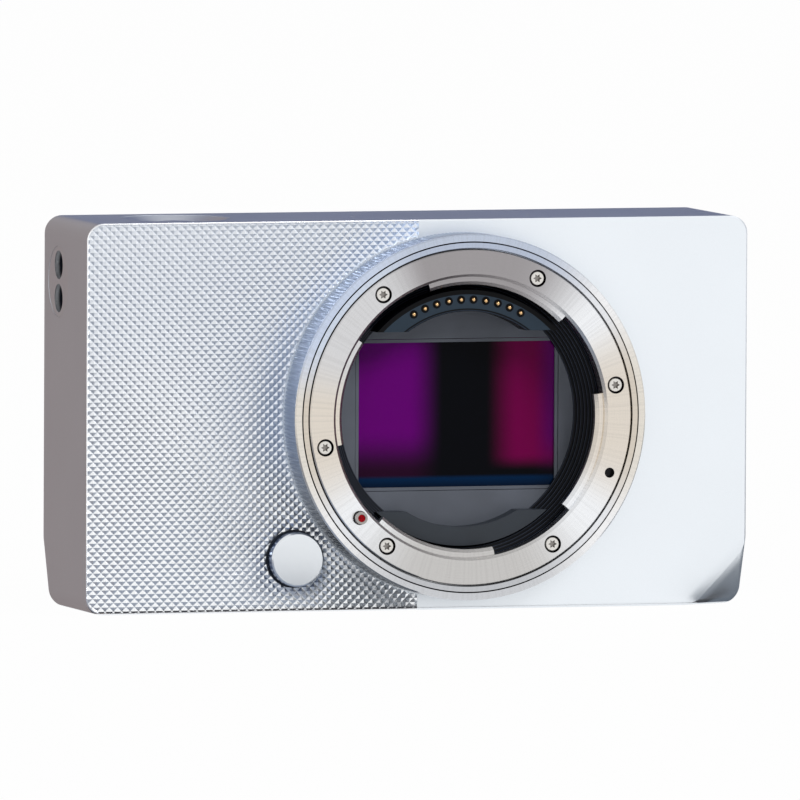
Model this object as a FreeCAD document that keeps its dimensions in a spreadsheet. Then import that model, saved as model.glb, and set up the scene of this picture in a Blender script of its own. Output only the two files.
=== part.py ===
"""Mirrorless camera body without a lens: a one-piece aluminium shell, a bayonet mount and what is inside.

Frame: +X to the right seen from the front, the mount faces -Y, +Z up.
The origin is at the middle of the base. Lengths are in millimetres, angles in degrees.
"""
import FreeCAD, Part
import math
import os
import re

import Sketcher

DOCUMENT = FreeCAD.newDocument("mirrorless_camera")
VECTOR = FreeCAD.Vector

# Driving dimensions: each one can be changed by itself
SIZES = {
    # body shell
    "body_width": 128.6,
    "body_height": 72.8,
    "body_depth": 28.5,
    "corner_radius": 3.3,
    "side_wall": 2.0,
    "front_wall": 2.0,
    "edge_chamfer": 0.3,
    "texture_depth": 0.35,
    "texture_right": 0.0,
    "facet_along": 10.5,
    "facet_up": 11.2,
    "facet_deep": 4.2,
    "facet_blend": 1.5,
    "corner_backing": 2.0,
    # fits and gaps
    "fit_gap": 0.05,
    "part_gap": 0.1,
    "moving_gap": 0.2,
    "groove_gap": 0.22,
    "thread_gap": 0.1,
    # lens mount
    "flange_height": 7.6,
    "flange_focal": 20.0,
    "mount_side": 72.3,
    "mount_drop": 0.1,
    "collar_radius": 34.1,
    "lip_width": 1.35,
    "lip_drop": 0.15,
    "trim_width": 1.0,
    "throat_radius": 26.2,
    "throat_chamfer": 0.5,
    "flange_thickness": 3.0,
    "flange_chamfer": 0.25,
    "collar_bore": 26.95,
    "tab_radius": 24.7,
    "tab_recess": 1.0,
    "tab_thickness": 1.6,
    "tab_root": 0.5,
    "tab_chamfer": 0.6,
    "tab_one_start": 45.0,
    "tab_one_sweep": 63.0,
    "tab_two_start": 146.0,
    "tab_two_sweep": 45.0,
    "tab_three_start": 228.0,
    "tab_three_sweep": 53.0,
    "tab_four_start": 318.0,
    "tab_four_sweep": 51.0,
    "screw_circle": 28.75,
    "screw_one_angle": 11.3,
    "screw_two_angle": 63.5,
    "screw_three_angle": 126.6,
    "screw_four_angle": 190.5,
    "screw_five_angle": 235.7,
    "screw_six_angle": 303.9,
    "screw_head_radius": 1.38,
    "screw_head_ring": 0.24,
    "screw_head_height": 1.2,
    "screw_sunk": 0.15,
    "screw_shank_radius": 1.0,
    "screw_edge": 0.2,
    "screw_star_radius": 0.85,
    "screw_star_depth": 0.7,
    "index_angle": -21.6,
    "index_circle": 29.1,
    "index_radius": 0.95,
    "index_depth": 1.2,
    "bayonet_spring_thickness": 0.35,
    "bayonet_spring_width": 0.6,
    # lens release
    "pin_angle": 220.5,
    "pin_circle": 28.3,
    "pin_radius": 1.15,
    "pin_proud": 1.2,
    "pin_head_length": 2.6,
    "pin_shank_radius": 0.8,
    "pin_tip_radius": 0.72,
    "pin_tip_depth": 0.25,
    "release_offset": 32.0,
    "release_z": 9.95,
    "release_radius": 5.1,
    "release_proud": 2.7,
    "release_edge": 0.35,
    "yoke_thickness": 1.2,
    "yoke_half_width": 1.3,
    "release_spring_length": 3.2,
    "release_post_radius": 2.8,
    "release_spigot_radius": 1.4,
    "release_spigot_length": 1.0,
    "spring_gauge": 0.25,
    # light trap, contacts and sensor
    "chamber_wall": 0.75,
    "chamber_rib": 0.5,
    "chamber_rib_pitch": 1.1,
    "window_depth": 9.0,
    "window_extra_width": 3.6,
    "window_extra_height": 4.4,
    "window_frame_width": 0.7,
    "baffle_thickness": 0.5,
    "contact_circle": 21.8,
    "contact_pitch": 6.33,
    "contact_radius": 0.45,
    "contact_proud": 0.4,
    "contact_travel": 0.5,
    "contact_block_inner": 19.6,
    "contact_block_outer": 23.6,
    "contact_block_rise": 15.9,
    "contact_block_depth": 2.8,
    "contact_block_length": 4.6,
    "contact_board_inset": 0.4,
    "lower_baffle_inner": 20.8,
    "lower_baffle_outer": 24.3,
    "lower_baffle_drop": 17.8,
    "lower_baffle_length": 3.4,
    "filter_thickness": 0.8,
    "filter_margin": 0.7,
    "holder_wall": 1.8,
    "sensor_width": 36.0,
    "sensor_height": 24.0,
    "sensor_die": 0.4,
    "sensor_package": 1.6,
    "sensor_package_margin": 2.6,
    "sensor_board_thickness": 1.2,
    "heat_plate_thickness": 1.0,
    "heat_plate_margin": 2.0,
    # chassis and main board
    "chassis_thickness": 1.0,
    "chassis_reach": 36.0,
    "chassis_right_gap": 0.5,
    "chassis_bottom": 9.0,
    "chassis_top_gap": 6.8,
    "post_radius": 2.2,
    "post_inset": 4.0,
    "post_left_z": 30.0,
    "post_right_z": 18.0,
    "post_screw_depth": 4.0,
    "standoff_radius": 1.6,
    "standoff_height": 2.6,
    "standoff_inset": 4.0,
    "standoff_right_inset": 11.0,
    "board_thickness": 1.2,
    "board_reach": 22.0,
    "board_right_gap": 3.3,
    "board_bottom": 9.5,
    "board_top_gap": 8.8,
    "processor_offset": 12.0,
    "processor_side": 16.0,
    "processor_thickness": 1.4,
    "memory_width": 9.0,
    "memory_height": 11.0,
    "memory_thickness": 1.0,
    "chip_gap": 1.0,
    "shield_offset": 16.0,
    "shield_drop": 25.8,
    "shield_width": 30.0,
    "shield_height": 22.0,
    "shield_depth": 1.6,
    "shield_wall": 0.3,
    # rear cover and display
    "cover_thickness": 1.6,
    "cover_rim": 1.0,
    "glass_thickness": 1.2,
    "display_left_margin": 51.8,
    "display_right_margin": 2.8,
    "display_edge": 9.9,
    "display_ledge": 2.2,
    "display_panel_thickness": 3.0,
    "status_drop": 15.3,
    "status_width": 17.0,
    "status_height": 10.6,
    "status_ledge": 1.0,
    "status_panel_thickness": 1.6,
    "cover_screw_inset": 5.0,
    "cover_screw_length": 5.0,
    "cover_screw_short": 0.5,
    "boss_width": 6.0,
    "boss_depth": 4.5,
    "boss_gap": 1.0,
    # rear controls
    "control_proud": 0.7,
    "dial_side": 21.3,
    "dial_drop": 18.8,
    "dial_radius": 12.0,
    "dial_hole_radius": 4.5,
    "dial_flange": 2.5,
    "dial_boss_radius": 6.5,
    "dial_boss_length": 2.6,
    "dial_dish": 0.5,
    "dial_rim": 1.6,
    "dial_edge": 0.4,
    "encoder_radius": 9.0,
    "encoder_height": 2.2,
    "centre_sunk": 0.1,
    "button_radius": 3.0,
    "button_travel": 0.5,
    "button_proud": 0.2,
    "button_edge": 0.3,
    "button_row_rise": 18.0,
    "button_spacing": 14.0,
    "power_inset": 5.5,
    "power_drop": 13.8,
    "button_board_back": 5.0,
    "button_board_thickness": 0.8,
    "button_board_left_gap": 2.6,
    "button_board_display_gap": 5.5,
    "button_board_bottom": 14.0,
    "button_board_top_gap": 8.6,
    "switch_side": 3.6,
    "switch_height": 1.2,
    # shutter release
    "dish_radius": 10.2,
    "dish_rim": 0.5,
    "dish_drop": 1.3,
    "dish_thickness": 3.2,
    "guide_radius": 7.0,
    "guide_depth": 7.6,
    "guide_floor": 1.2,
    "shutter_radius": 5.4,
    "shutter_sunk": 0.5,
    "shutter_cap": 2.2,
    "shutter_crown": 0.35,
    "shutter_stem_radius": 1.8,
    "shutter_travel": 1.0,
    "shutter_switch_width": 8.0,
    "shutter_switch_height": 3.6,
    # strap boss
    "strap_back": 18.9,
    "strap_drop": 11.8,
    "strap_radius": 6.6,
    "strap_depth": 4.0,
    "strap_hole_radius": 2.65,
    "strap_hole_spacing": 6.2,
    "strap_slot_step": 0.2,
    "strap_hole_depth": 3.2,
    "strap_bar_depth": 1.4,
    # ports
    "mic_one_offset": 17.1,
    "mic_two_offset": 17.3,
    "mic_setback": 12.4,
    "mic_hole_radius": 0.45,
    "mic_width": 3.6,
    "mic_thickness": 1.2,
    "usb_speaker_gap": 16.0,
    "usb_width": 8.94,
    "usb_thickness": 3.2,
    "usb_depth": 6.9,
    "usb_wall": 0.35,
    "usb_hole_margin": 0.25,
    "usb_sunk": 0.4,
    "usb_back_wall": 1.0,
    "usb_tongue_thickness": 0.7,
    "usb_tongue_inset": 1.2,
    "usb_tongue_sunk": 1.0,
    "speaker_drop": 24.8,
    "speaker_setback": 9.8,
    "speaker_width": 10.0,
    "speaker_height": 12.0,
    "speaker_thickness": 4.0,
    "speaker_hole_radius": 0.6,
    "speaker_hole_pitch": 2.0,
    # battery
    "bay_side": 5.5,
    "bay_width": 25.1,
    "bay_front_gap": 1.5,
    "bay_depth": 18.0,
    "bay_top_room": 15.6,
    "bay_wall": 0.8,
    "battery_gap": 0.2,
    "battery_cap": 2.3,
    "battery_raised": 0.1,
    "battery_end_room": 2.2,
    "seal_thickness": 0.5,
    "seal_inset": 1.2,
    "terminal_width": 2.0,
    "terminal_pitch": 4.0,
    "terminal_depth": 0.3,
    "contact_gap": 0.3,
    "contact_finger": 0.55,
    "latch_travel": 3.0,
    "latch_width": 5.5,
    "latch_depth": 3.0,
    "latch_plate_thickness": 1.2,
    "latch_plate_reach": 1.0,
    "latch_gap": 0.15,
    "latch_sunk": 0.3,
    # tripod bush
    "bush_radius": 5.0,
    "bush_height": 7.5,
    "bush_bore_radius": 2.55,
    "bush_bore_depth": 5.5,
    "bush_boss_width": 15.0,
    "bush_boss_height": 6.5,
}

# Places that follow from the driving dimensions
PLACES = {
    "pin_tip_rise": "flange_height + pin_proud",
    "front_y": "pin_tip_rise - (pin_tip_rise + body_depth + control_proud) / 2",
    "flange_y": "front_y - flange_height",
    "back_y": "front_y + body_depth",
    "half_width": "body_width / 2",
    "mount_x": "mount_side - half_width",
    "mount_z": "body_height / 2 - mount_drop",
    "release_x": "mount_x - release_offset",
    "chassis_left": "mount_x - chassis_reach",
    "board_left": "mount_x - board_reach",
    "processor_x": "mount_x + processor_offset",
    "shield_x": "mount_x + shield_offset",
    "shield_z": "body_height - shield_drop",
    "mic_one_x": "mount_x - mic_one_offset",
    "mic_two_x": "mount_x + mic_two_offset",
    "window_width": "sensor_width + window_extra_width",
    "window_height": "sensor_height + window_extra_height",
    "display_width": "body_width - display_left_margin - display_right_margin",
    "display_height": "body_height - 2 * display_edge",
    "display_x": "half_width - display_right_margin - display_width / 2",
    "display_z": "body_height / 2",
    "button_board_right": "display_x - display_width / 2 - button_board_display_gap",
    "power_x": "button_board_right - power_inset",
    "power_z": "body_height - power_drop",
    "dial_x": "dial_side - half_width",
    "dial_z": "(body_height - dial_drop) / 2",
    "button_row_z": "dial_z + button_row_rise",
    "status_x": "dial_x",
    "status_z": "body_height - status_drop",
    "shutter_x": "dial_x",
    "strap_z": "body_height - strap_drop",
    "speaker_z": "body_height - speaker_drop",
    "usb_z": "speaker_z - usb_speaker_gap",
    "bay_left": "bay_side - half_width",
    "bay_right": "bay_left + bay_width",
    "bay_height": "body_height - bay_top_room",
    "battery_length": "bay_height - battery_end_room",
    "middle_y": "(front_y + back_y) / 2",
    "inside_front": "front_y + front_wall",
    "cover_y": "back_y - cover_thickness",
    "seat_y": "flange_y + flange_thickness",
    "lip_inner": "collar_radius - lip_width",
    "trim_outer": "lip_inner - groove_gap",
    "trim_inner": "trim_outer - trim_width",
    "flange_radius": "trim_inner - groove_gap",
    "chamber_outer": "collar_bore - part_gap",
    "chamber_inner": "chamber_outer - chamber_wall",
    "window_y": "flange_y + window_depth",
    "baffle_back": "window_y + baffle_thickness",
    "sensor_y": "flange_y + flange_focal",
    "package_y": "sensor_y + sensor_die",
    "sensor_board_y": "package_y + sensor_package",
    "heat_y": "sensor_board_y + sensor_board_thickness",
    "chassis_y": "heat_y + heat_plate_thickness",
    "chassis_back": "chassis_y + chassis_thickness",
    "chassis_right": "half_width - side_wall - chassis_right_gap",
    "chassis_top": "body_height - chassis_top_gap",
    "board_right": "half_width - board_right_gap",
    "board_top": "body_height - board_top_gap",
    "board_y": "chassis_back + standoff_height",
    "board_back": "board_y + board_thickness",
    "button_board_y": "back_y - button_board_back",
    "switch_back": "button_board_y + switch_height",
    "bay_front": "inside_front + bay_front_gap",
    "bay_back": "bay_front + bay_depth",
    "pin_x": "mount_x + pin_circle * cos(pin_angle * 1deg)",
    "pin_z": "mount_z + pin_circle * sin(pin_angle * 1deg)",
    "yoke_y": "inside_front + moving_gap",
    "yoke_back": "yoke_y + yoke_thickness",
    "release_post_y": "yoke_back + release_spring_length",
    "post_left": "chassis_left + post_inset",
    "post_right": "chassis_right - post_inset",
    "post_top": "chassis_top - post_inset",
    "screw_hole": "screw_shank_radius + thread_gap",
    "cover_left": "-half_width + cover_rim + part_gap",
    "cover_right": "half_width - cover_rim - part_gap",
    "cover_bottom": "cover_rim + part_gap",
    "cover_top": "body_height - cover_rim - part_gap",
    "corner_x": "facet_along + corner_backing",
    "corner_y": "facet_deep + corner_backing",
    "corner_z": "facet_up + corner_backing",
    "latch_x": "bay_right + bay_wall + 2 * part_gap",
    "knob_x": "latch_x + latch_travel",
    "strap_y": "front_y + strap_back",
    "mic_y": "front_y + mic_setback",
    "speaker_y": "front_y + speaker_setback",
    "usb_y": "chassis_y - usb_thickness / 2",
}

SHEET = DOCUMENT.addObject("Spreadsheet::Sheet", "Sizes")
for row, (alias, number) in enumerate(SIZES.items(), 1):
    SHEET.set(f"A{row}", alias)
    SHEET.set(f"B{row}", str(number))
    SHEET.setAlias(f"B{row}", alias)
for row, (alias, text) in enumerate(PLACES.items(), len(SIZES) + 2):
    SHEET.set(f"A{row}", alias)
    SHEET.set(f"B{row}", "=" + text)
    SHEET.setAlias(f"B{row}", alias)
DOCUMENT.recompute()

NODES = []


def formula(text):
    """Point each size that an expression names at the sheet."""
    names = set(SIZES) | set(PLACES)
    return re.sub(r"[a-z_]+", lambda word: f"Sizes.{word[0]}" if word[0] in names else word[0], text)


def amount(text):
    """The present value of an expression on the sizes."""
    return float(SHEET.evalExpression(formula(text)))


def keep(label, item):
    """Name an object as one sub-part of the camera."""
    item.Label = label
    NODES.append(item)
    return item


def place(item, x, y, z):
    """Bind the place of an object to three expressions."""
    for axis, text in (("x", x), ("y", y), ("z", z)):
        item.setExpression(f"Placement.Base.{axis}", formula(text))


# Primitives and booleans, bound to the sheet

def block(x, y, z, name="Block"):
    """A box that reaches between two expressions along each axis."""
    box = DOCUMENT.addObject("Part::Box", name)
    for side, (low, high) in (("Length", x), ("Width", y), ("Height", z)):
        box.setExpression(side, formula(f"({high}) - ({low})"))
    place(box, x[0], y[0], z[0])
    return box


def centred(x, width, y, z, height, name="Block"):
    """A box centred on x and z, between two expressions along Y."""
    across = (f"({x}) - ({width}) / 2", f"({x}) + ({width}) / 2")
    upright = (f"({z}) - ({height}) / 2", f"({z}) + ({height}) / 2")
    return block(across, y, upright, name)


TURNS = {
    "X": FreeCAD.Rotation(VECTOR(0, 1, 0), 90),
    "Y": FreeCAD.Rotation(VECTOR(1, 0, 0), -90),
    "Z": FreeCAD.Rotation(),
}


def rod(axis, radius, span, at, name="Rod"):
    """A cylinder along an axis, between two expressions, centred on the other two coordinates."""
    cylinder = DOCUMENT.addObject("Part::Cylinder", name)
    cylinder.setExpression("Radius", formula(radius))
    cylinder.setExpression("Height", formula(f"({span[1]}) - ({span[0]})"))
    cylinder.Placement = FreeCAD.Placement(VECTOR(), TURNS[axis])
    centre = list(at)
    centre.insert("XYZ".index(axis), span[0])
    place(cylinder, *centre)
    return cylinder


def cut(base, *tools, name="Cut"):
    """Take every tool from the base, and stop if they took nothing."""
    result = DOCUMENT.addObject("Part::Cut", name)
    result.Base = base
    result.Tool = tools[0] if len(tools) == 1 else fuse(*tools)
    DOCUMENT.recompute()
    if result.Shape.Volume > base.Shape.Volume - 1e-4:
        raise RuntimeError(f"nothing was cut from {base.Name}")
    return result


def fuse(*items, name="Fusion"):
    """Join touching or overlapping solids."""
    result = DOCUMENT.addObject("Part::MultiFuse", name)
    result.Shapes = list(items)
    result.Refine = True
    return result


def common(first, second, name="Common"):
    """Keep what two solids share."""
    result = DOCUMENT.addObject("Part::Common", name)
    result.Base = first
    result.Tool = second
    return result


def group(items, name="Group"):
    """Hold separate solids in one sub-part."""
    result = DOCUMENT.addObject("Part::Compound", name)
    result.Links = list(items)
    return result


def tube(axis, outer, inner, span, at, name="Tube"):
    """A round tube along an axis."""
    longer = (f"({span[0]}) - 1", f"({span[1]}) + 1")
    return cut(rod(axis, outer, span, at), rod(axis, inner, longer, at), name=name)


def around_mount(circle, angle):
    """A place on a circle about the mount's axis, as expressions for X and Z."""
    return (f"mount_x + ({circle}) * cos(({angle}) * 1deg)",
            f"mount_z + ({circle}) * sin(({angle}) * 1deg)")


def mount_rod(circle, angle, radius, span):
    """A cylinder along Y at a place on a circle about the mount's axis."""
    return rod("Y", radius, span, around_mount(circle, angle))


# Bodies made from sketches, bound to the sheet

def dimension(sketch, kind, where, text):
    """Add one dimension to a sketch and bind it."""
    index = sketch.addConstraint(Sketcher.Constraint(kind, *where, amount(text)))
    sketch.setExpression(f"Constraints[{index}]", formula(text))


def outline(sketch, corners):
    """Draw a closed outline of straight lines through bound corners."""
    points = [VECTOR(amount(across), amount(along), 0) for across, along in corners]
    first = sketch.GeometryCount
    for start, end in zip(points, points[1:] + points[:1]):
        sketch.addGeometry(Part.LineSegment(start, end), False)
    for number, (across, along) in enumerate(corners):
        line = first + number
        following = first + (number + 1) % len(corners)
        sketch.addConstraint(Sketcher.Constraint("Coincident", line, 2, following, 1))
        dimension(sketch, "DistanceX", (-1, 1, line, 1), across)
        dimension(sketch, "DistanceY", (-1, 1, line, 1), along)


def rectangle(sketch, across, along):
    """Draw a rectangle between two expressions each way."""
    outline(sketch, [(across[0], along[0]), (across[1], along[0]),
                     (across[1], along[1]), (across[0], along[1])])


def circle(sketch, across, along, radius):
    """Draw a circle with a bound centre and radius."""
    centre = VECTOR(amount(across), amount(along), 0)
    index = sketch.addGeometry(Part.Circle(centre, VECTOR(0, 0, 1), amount(radius)), False)
    dimension(sketch, "DistanceX", (-1, 1, index, 3), across)
    dimension(sketch, "DistanceY", (-1, 1, index, 3), along)
    dimension(sketch, "Radius", (index,), radius)


class Piece:
    """A PartDesign body built feature by feature."""

    def __init__(self, name):
        self.body = DOCUMENT.addObject("PartDesign::Body", name)

    def sketch(self, name, plane="XZ", offset="0"):
        """Attach a sketch to one of the body's own origin planes."""
        sketch = self.body.newObject("Sketcher::SketchObject", name)
        base = [item for item in self.body.Origin.OriginFeatures if item.Role == f"{plane}_Plane"]
        sketch.AttachmentSupport = [(base[0], "")]
        sketch.MapMode = "FlatFace"
        sketch.setExpression("AttachmentOffset.Base.z", formula(offset))
        return sketch

    def feature(self, kind, profile, grows, **settings):
        """Add a feature, and stop if the solid didn't change the right way."""
        before = self.body.Shape.Volume if self.body.Tip else 0.0
        item = self.body.newObject(f"PartDesign::{kind}", f"{profile.Name}_{kind}")
        item.Profile = profile
        for setting, value in settings.items():
            if isinstance(value, str) and setting in ("Length", "Angle"):
                item.setExpression(setting, formula(value))
            else:
                setattr(item, setting, value)
        profile.Visibility = False
        DOCUMENT.recompute()
        change = self.body.Shape.Volume - before
        if change * (1 if grows else -1) < 1e-4:
            raise RuntimeError(f"{item.Name} changed nothing")
        return item

    def pad(self, profile, length, reverse=False):
        return self.feature("Pad", profile, True, Length=length, Reversed=reverse)

    def pocket(self, profile, length, reverse=False):
        return self.feature("Pocket", profile, False, Length=length, Reversed=reverse)

    def revolve(self, profile, axis="V_Axis"):
        return self.feature("Revolution", profile, True, ReferenceAxis=(profile, [axis]), Angle="360")

    def round_edges(self, kind, setting, size, chosen):
        """Fillet or chamfer the edges of the present solid that a test picks."""
        base = self.body.Tip
        names = [f"Edge{number}" for number, edge in enumerate(base.Shape.Edges, 1) if chosen(edge)]
        item = self.body.newObject(f"PartDesign::{kind}", kind)
        item.Base = (base, names)
        item.setExpression(setting, formula(size))
        DOCUMENT.recompute()
        return item

    def fillet(self, size, chosen):
        return self.round_edges("Fillet", "Radius", size, chosen)

    def chamfer(self, size, chosen):
        return self.round_edges("Chamfer", "Size", size, chosen)


def straight_along(edge, axis):
    """True for a straight edge along one of the frame's axes."""
    ends = edge.Vertexes
    if len(ends) != 2:
        return False
    run = ends[1].Point - ends[0].Point
    return abs(getattr(run, axis)) > 0.999 * run.Length


def lies_at(edge, axis, place_text):
    """True for an edge that lies wholly in a plane square to an axis."""
    box = edge.BoundBox
    low, high = getattr(box, axis + "Min"), getattr(box, axis + "Max")
    return max(abs(low - amount(place_text)), abs(high - amount(place_text))) < 1e-4


def turned(name, profile, x, y, z, axis="Y"):
    """A body of revolution about Y or Z through a bound place; profile points are radius and length."""
    piece = Piece(name)
    sketch = piece.sketch(f"{name}_profile", "XY" if axis == "Y" else "XZ")
    outline(sketch, profile)
    piece.revolve(sketch)
    place(piece.body, x, y, z)
    return piece


# Body shell, machined from one block and open at the back

def facet_sketch(piece, name, points):
    """A square sketch in the plane of three points, with its normal away from the body's middle."""
    middle = (points[0] + points[1] + points[2]) / 3
    normal = (points[1] - points[0]).cross(points[2] - points[0])
    normal.normalize()
    if normal.dot(middle - VECTOR(0, amount("middle_y"), amount("body_height / 2"))) < 0:
        normal = -normal
    sketch = piece.sketch(name, "XY")
    sketch.setExpression("AttachmentOffset.Base.z", None)
    sketch.AttachmentOffset = FreeCAD.Placement(middle, FreeCAD.Rotation(VECTOR(0, 0, 1), normal))
    rectangle(sketch, ("-3 * facet_along", "3 * facet_along"), ("-3 * facet_up", "3 * facet_up"))
    return sketch


def in_plane(edge, points):
    """True for an edge that lies in the plane of three points."""
    normal = (points[1] - points[0]).cross(points[2] - points[0])
    normal.normalize()
    samples = [edge.valueAt(edge.FirstParameter), edge.valueAt(edge.LastParameter)]
    samples.append(edge.valueAt((edge.FirstParameter + edge.LastParameter) / 2))
    return all(abs((sample - points[0]).dot(normal)) < 1e-3 for sample in samples)


POSTS = (("post_left", "post_top"), ("post_left", "post_left_z"),
         ("post_right", "post_top"), ("post_right", "post_right_z"))
COVER_SCREWS = (("-half_width + strap_depth + boss_width / 2 + boss_gap", "body_height - cover_screw_inset"),
                ("half_width - cover_screw_inset", "body_height - cover_screw_inset"),
                ("half_width - cover_screw_inset", "cover_screw_inset"),
                ("-half_width + corner_x + boss_width / 2 + boss_gap", "cover_screw_inset"))
SCREW_ANGLES = [f"screw_{number}_angle" for number in ("one", "two", "three", "four", "five", "six")]


def shell_blank(name):
    """The block that the shell is machined from, with its four rounded corners."""
    piece = Piece(name)
    plan = piece.sketch(f"{name}_outline", "XZ", "-back_y")
    rectangle(plan, ("-half_width", "half_width"), ("0", "body_height"))
    piece.pad(plan, "body_depth")
    piece.fillet("corner_radius", lambda edge: straight_along(edge, "y"))
    return piece


def body_shell():
    """The outer walls with the corner backing, posts, bosses and every hole."""
    outside = shell_blank("shell_outside")
    outside.chamfer("edge_chamfer",
                    lambda edge: lies_at(edge, "Y", "front_y") or lies_at(edge, "Y", "back_y"))
    piece = shell_blank("shell_block")

    cavity = piece.sketch("shell_cavity", "XZ", "-back_y")
    rectangle(cavity, ("-half_width + side_wall", "half_width - side_wall"),
              ("side_wall", "body_height - side_wall"))
    piece.pocket(cavity, "body_depth - front_wall", reverse=True)
    front_corner = piece.sketch("front_corner", "XZ", "-front_y - corner_y")
    rectangle(front_corner, ("half_width - corner_x", "half_width - side_wall / 2"),
              ("side_wall / 2", "corner_z"))
    piece.pad(front_corner, "corner_y - front_wall / 2")
    back_corner = piece.sketch("back_corner", "XZ", "-back_y")
    rectangle(back_corner, ("-half_width + side_wall / 2", "corner_x - half_width"),
              ("side_wall / 2", "corner_z"))
    piece.pad(back_corner, "corner_y")

    half, front, back = amount("half_width"), amount("front_y"), amount("back_y")
    along, up, deep = amount("facet_along"), amount("facet_up"), amount("facet_deep")
    front_facet = (VECTOR(half - along, front, 0), VECTOR(half, front, up), VECTOR(half, front + deep, 0))
    back_facet = (VECTOR(along - half, back, 0), VECTOR(-half, back, up), VECTOR(-half, back - deep, 0))
    for name, facet in (("front_facet", front_facet), ("back_facet", back_facet)):
        piece.pocket(facet_sketch(piece, name, facet), "3 * facet_deep", reverse=True)
    for facet in (front_facet, back_facet):
        piece.fillet("facet_blend", lambda edge: in_plane(edge, facet))

    rim = piece.sketch("cover_recess", "XZ", "-back_y")
    left, right = "-half_width + cover_rim", "half_width - cover_rim"
    bottom, top = "cover_rim", "body_height - cover_rim"
    notch_x, notch_z = "corner_x - half_width", "corner_z"
    outline(rim, [(notch_x, bottom), (right, bottom), (right, top), (left, top), (left, notch_z),
                  (notch_x, notch_z)])
    piece.pocket(rim, "cover_thickness", reverse=True)

    openings = piece.sketch("front_openings", "XZ", "-inside_front - part_gap")
    circle(openings, "mount_x", "mount_z", "collar_bore")
    circle(openings, "pin_x", "pin_z", "pin_shank_radius + moving_gap")
    circle(openings, "release_x", "release_z", "release_radius + moving_gap")
    for angle in SCREW_ANGLES:
        circle(openings, *around_mount("screw_circle", angle), "screw_hole")
    piece.feature("Pocket", openings, False, Type="ThroughAll", Reversed=True)

    fillings = [rod("Y", "post_radius", ("inside_front", "chassis_y"), post) for post in POSTS]
    fillings[:0] = [piece.body]
    for x, z in COVER_SCREWS:
        upright = ("side_wall", "side_wall + boss_width") if z == "cover_screw_inset" else (
            "body_height - side_wall - boss_width", "body_height - side_wall")
        fillings.append(block((f"{x} - boss_width / 2", f"{x} + boss_width / 2"),
                              ("cover_y - boss_depth", "cover_y"), upright))
    fillings.append(block(("mount_x - bush_boss_width / 2", "mount_x + bush_boss_width / 2"),
                          ("middle_y - bush_boss_width / 2", "middle_y + bush_boss_width / 2"),
                          ("side_wall", "bush_boss_height")))

    texture = cut(block(("-half_width - 1", "texture_right"), ("front_y - 1", "front_y + texture_depth"),
                        ("-1", "body_height + 1")),
                  rod("Y", "collar_radius + groove_gap", ("front_y - 2", "front_y + 2"),
                      ("mount_x", "mount_z")))
    holes = [texture]
    for post in POSTS:
        holes.append(rod("Y", "screw_hole", ("chassis_y - post_screw_depth - 1", "chassis_y + 1"), post))
    for spot in COVER_SCREWS:
        holes.append(rod("Y", "screw_hole", ("back_y - cover_screw_length", "back_y"), spot))
    holes.append(rod("Z", "bush_radius + fit_gap", ("-1", "bush_boss_height + 1"), ("mount_x", "middle_y")))
    holes.append(rod("Z", "dish_radius + fit_gap", ("body_height - 2 * side_wall", "body_height + 1"),
                     ("shutter_x", "middle_y")))
    for x in ("mic_one_x", "mic_two_x"):
        holes.append(rod("Z", "mic_hole_radius", ("body_height - 2 * side_wall", "body_height + 1"),
                         (x, "mic_y")))
    holes.append(rod("X", "strap_radius + fit_gap", ("-half_width - 1", "2 * side_wall - half_width"),
                     ("strap_y", "strap_z")))
    holes.append(block(("bay_left", "bay_right"), ("bay_front", "bay_back"), ("-1", "2 * side_wall")))
    holes.append(block(("knob_x - moving_gap", "knob_x + latch_width + latch_travel + moving_gap"),
                       ("middle_y - latch_depth / 2 - moving_gap", "middle_y + latch_depth / 2 + moving_gap"),
                       ("-1", "2 * side_wall")))
    holes.append(usb_stadium("usb_hole_margin", ("half_width - 2 * side_wall", "half_width + 1")))
    for step in (-2, -1, 0, 1, 2):
        holes.append(rod("X", "speaker_hole_radius", ("half_width - 2 * side_wall", "half_width + 1"),
                         ("speaker_y", f"speaker_z + {step} * speaker_hole_pitch")))
    keep("body_shell", cut(common(outside.body, fuse(*fillings)), *holes))


def usb_stadium(margin, span):
    """The outline of the connector, grown by a margin, along X."""
    radius = f"usb_thickness / 2 + {margin}"
    reach = "(usb_width - usb_thickness) / 2"
    ends = [rod("X", radius, span, ("usb_y", f"usb_z + {sign} * {reach}")) for sign in (-1, 1)]
    middle = block(span, (f"usb_y - ({radius})", f"usb_y + {radius}"),
                   (f"usb_z - {reach}", f"usb_z + {reach}"))
    return fuse(middle, *ends)


# Lens mount

def mount_collar():
    """The fluted collar that carries the flange, with its lip."""
    lip = "flange_y + lip_drop"
    piece = turned("mount_collar_ring", [
        ("collar_bore", "front_y"), ("collar_radius", "front_y"),
        ("collar_radius", f"{lip} + flange_chamfer"),
        ("collar_radius - flange_chamfer", lip), ("lip_inner", lip), ("lip_inner", "seat_y"),
        ("collar_bore", "seat_y")], "mount_x", "0", "mount_z")
    span = ("seat_y - 1", "front_y + 1")
    holes = [mount_rod("screw_circle", angle, "screw_hole", span) for angle in SCREW_ANGLES]
    holes.append(mount_rod("pin_circle", "pin_angle", "pin_shank_radius + moving_gap", span))
    keep("mount_collar", cut(piece.body, *holes))


def trim_ring():
    """The thin bright ring between the collar's lip and the flange."""
    keep("mount_trim_ring", turned("trim", [
        ("trim_inner", "seat_y"), ("trim_outer", "seat_y"), ("trim_outer", "flange_y + lip_drop"),
        ("trim_inner", "flange_y + lip_drop")], "mount_x", "0", "mount_z").body)


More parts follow.
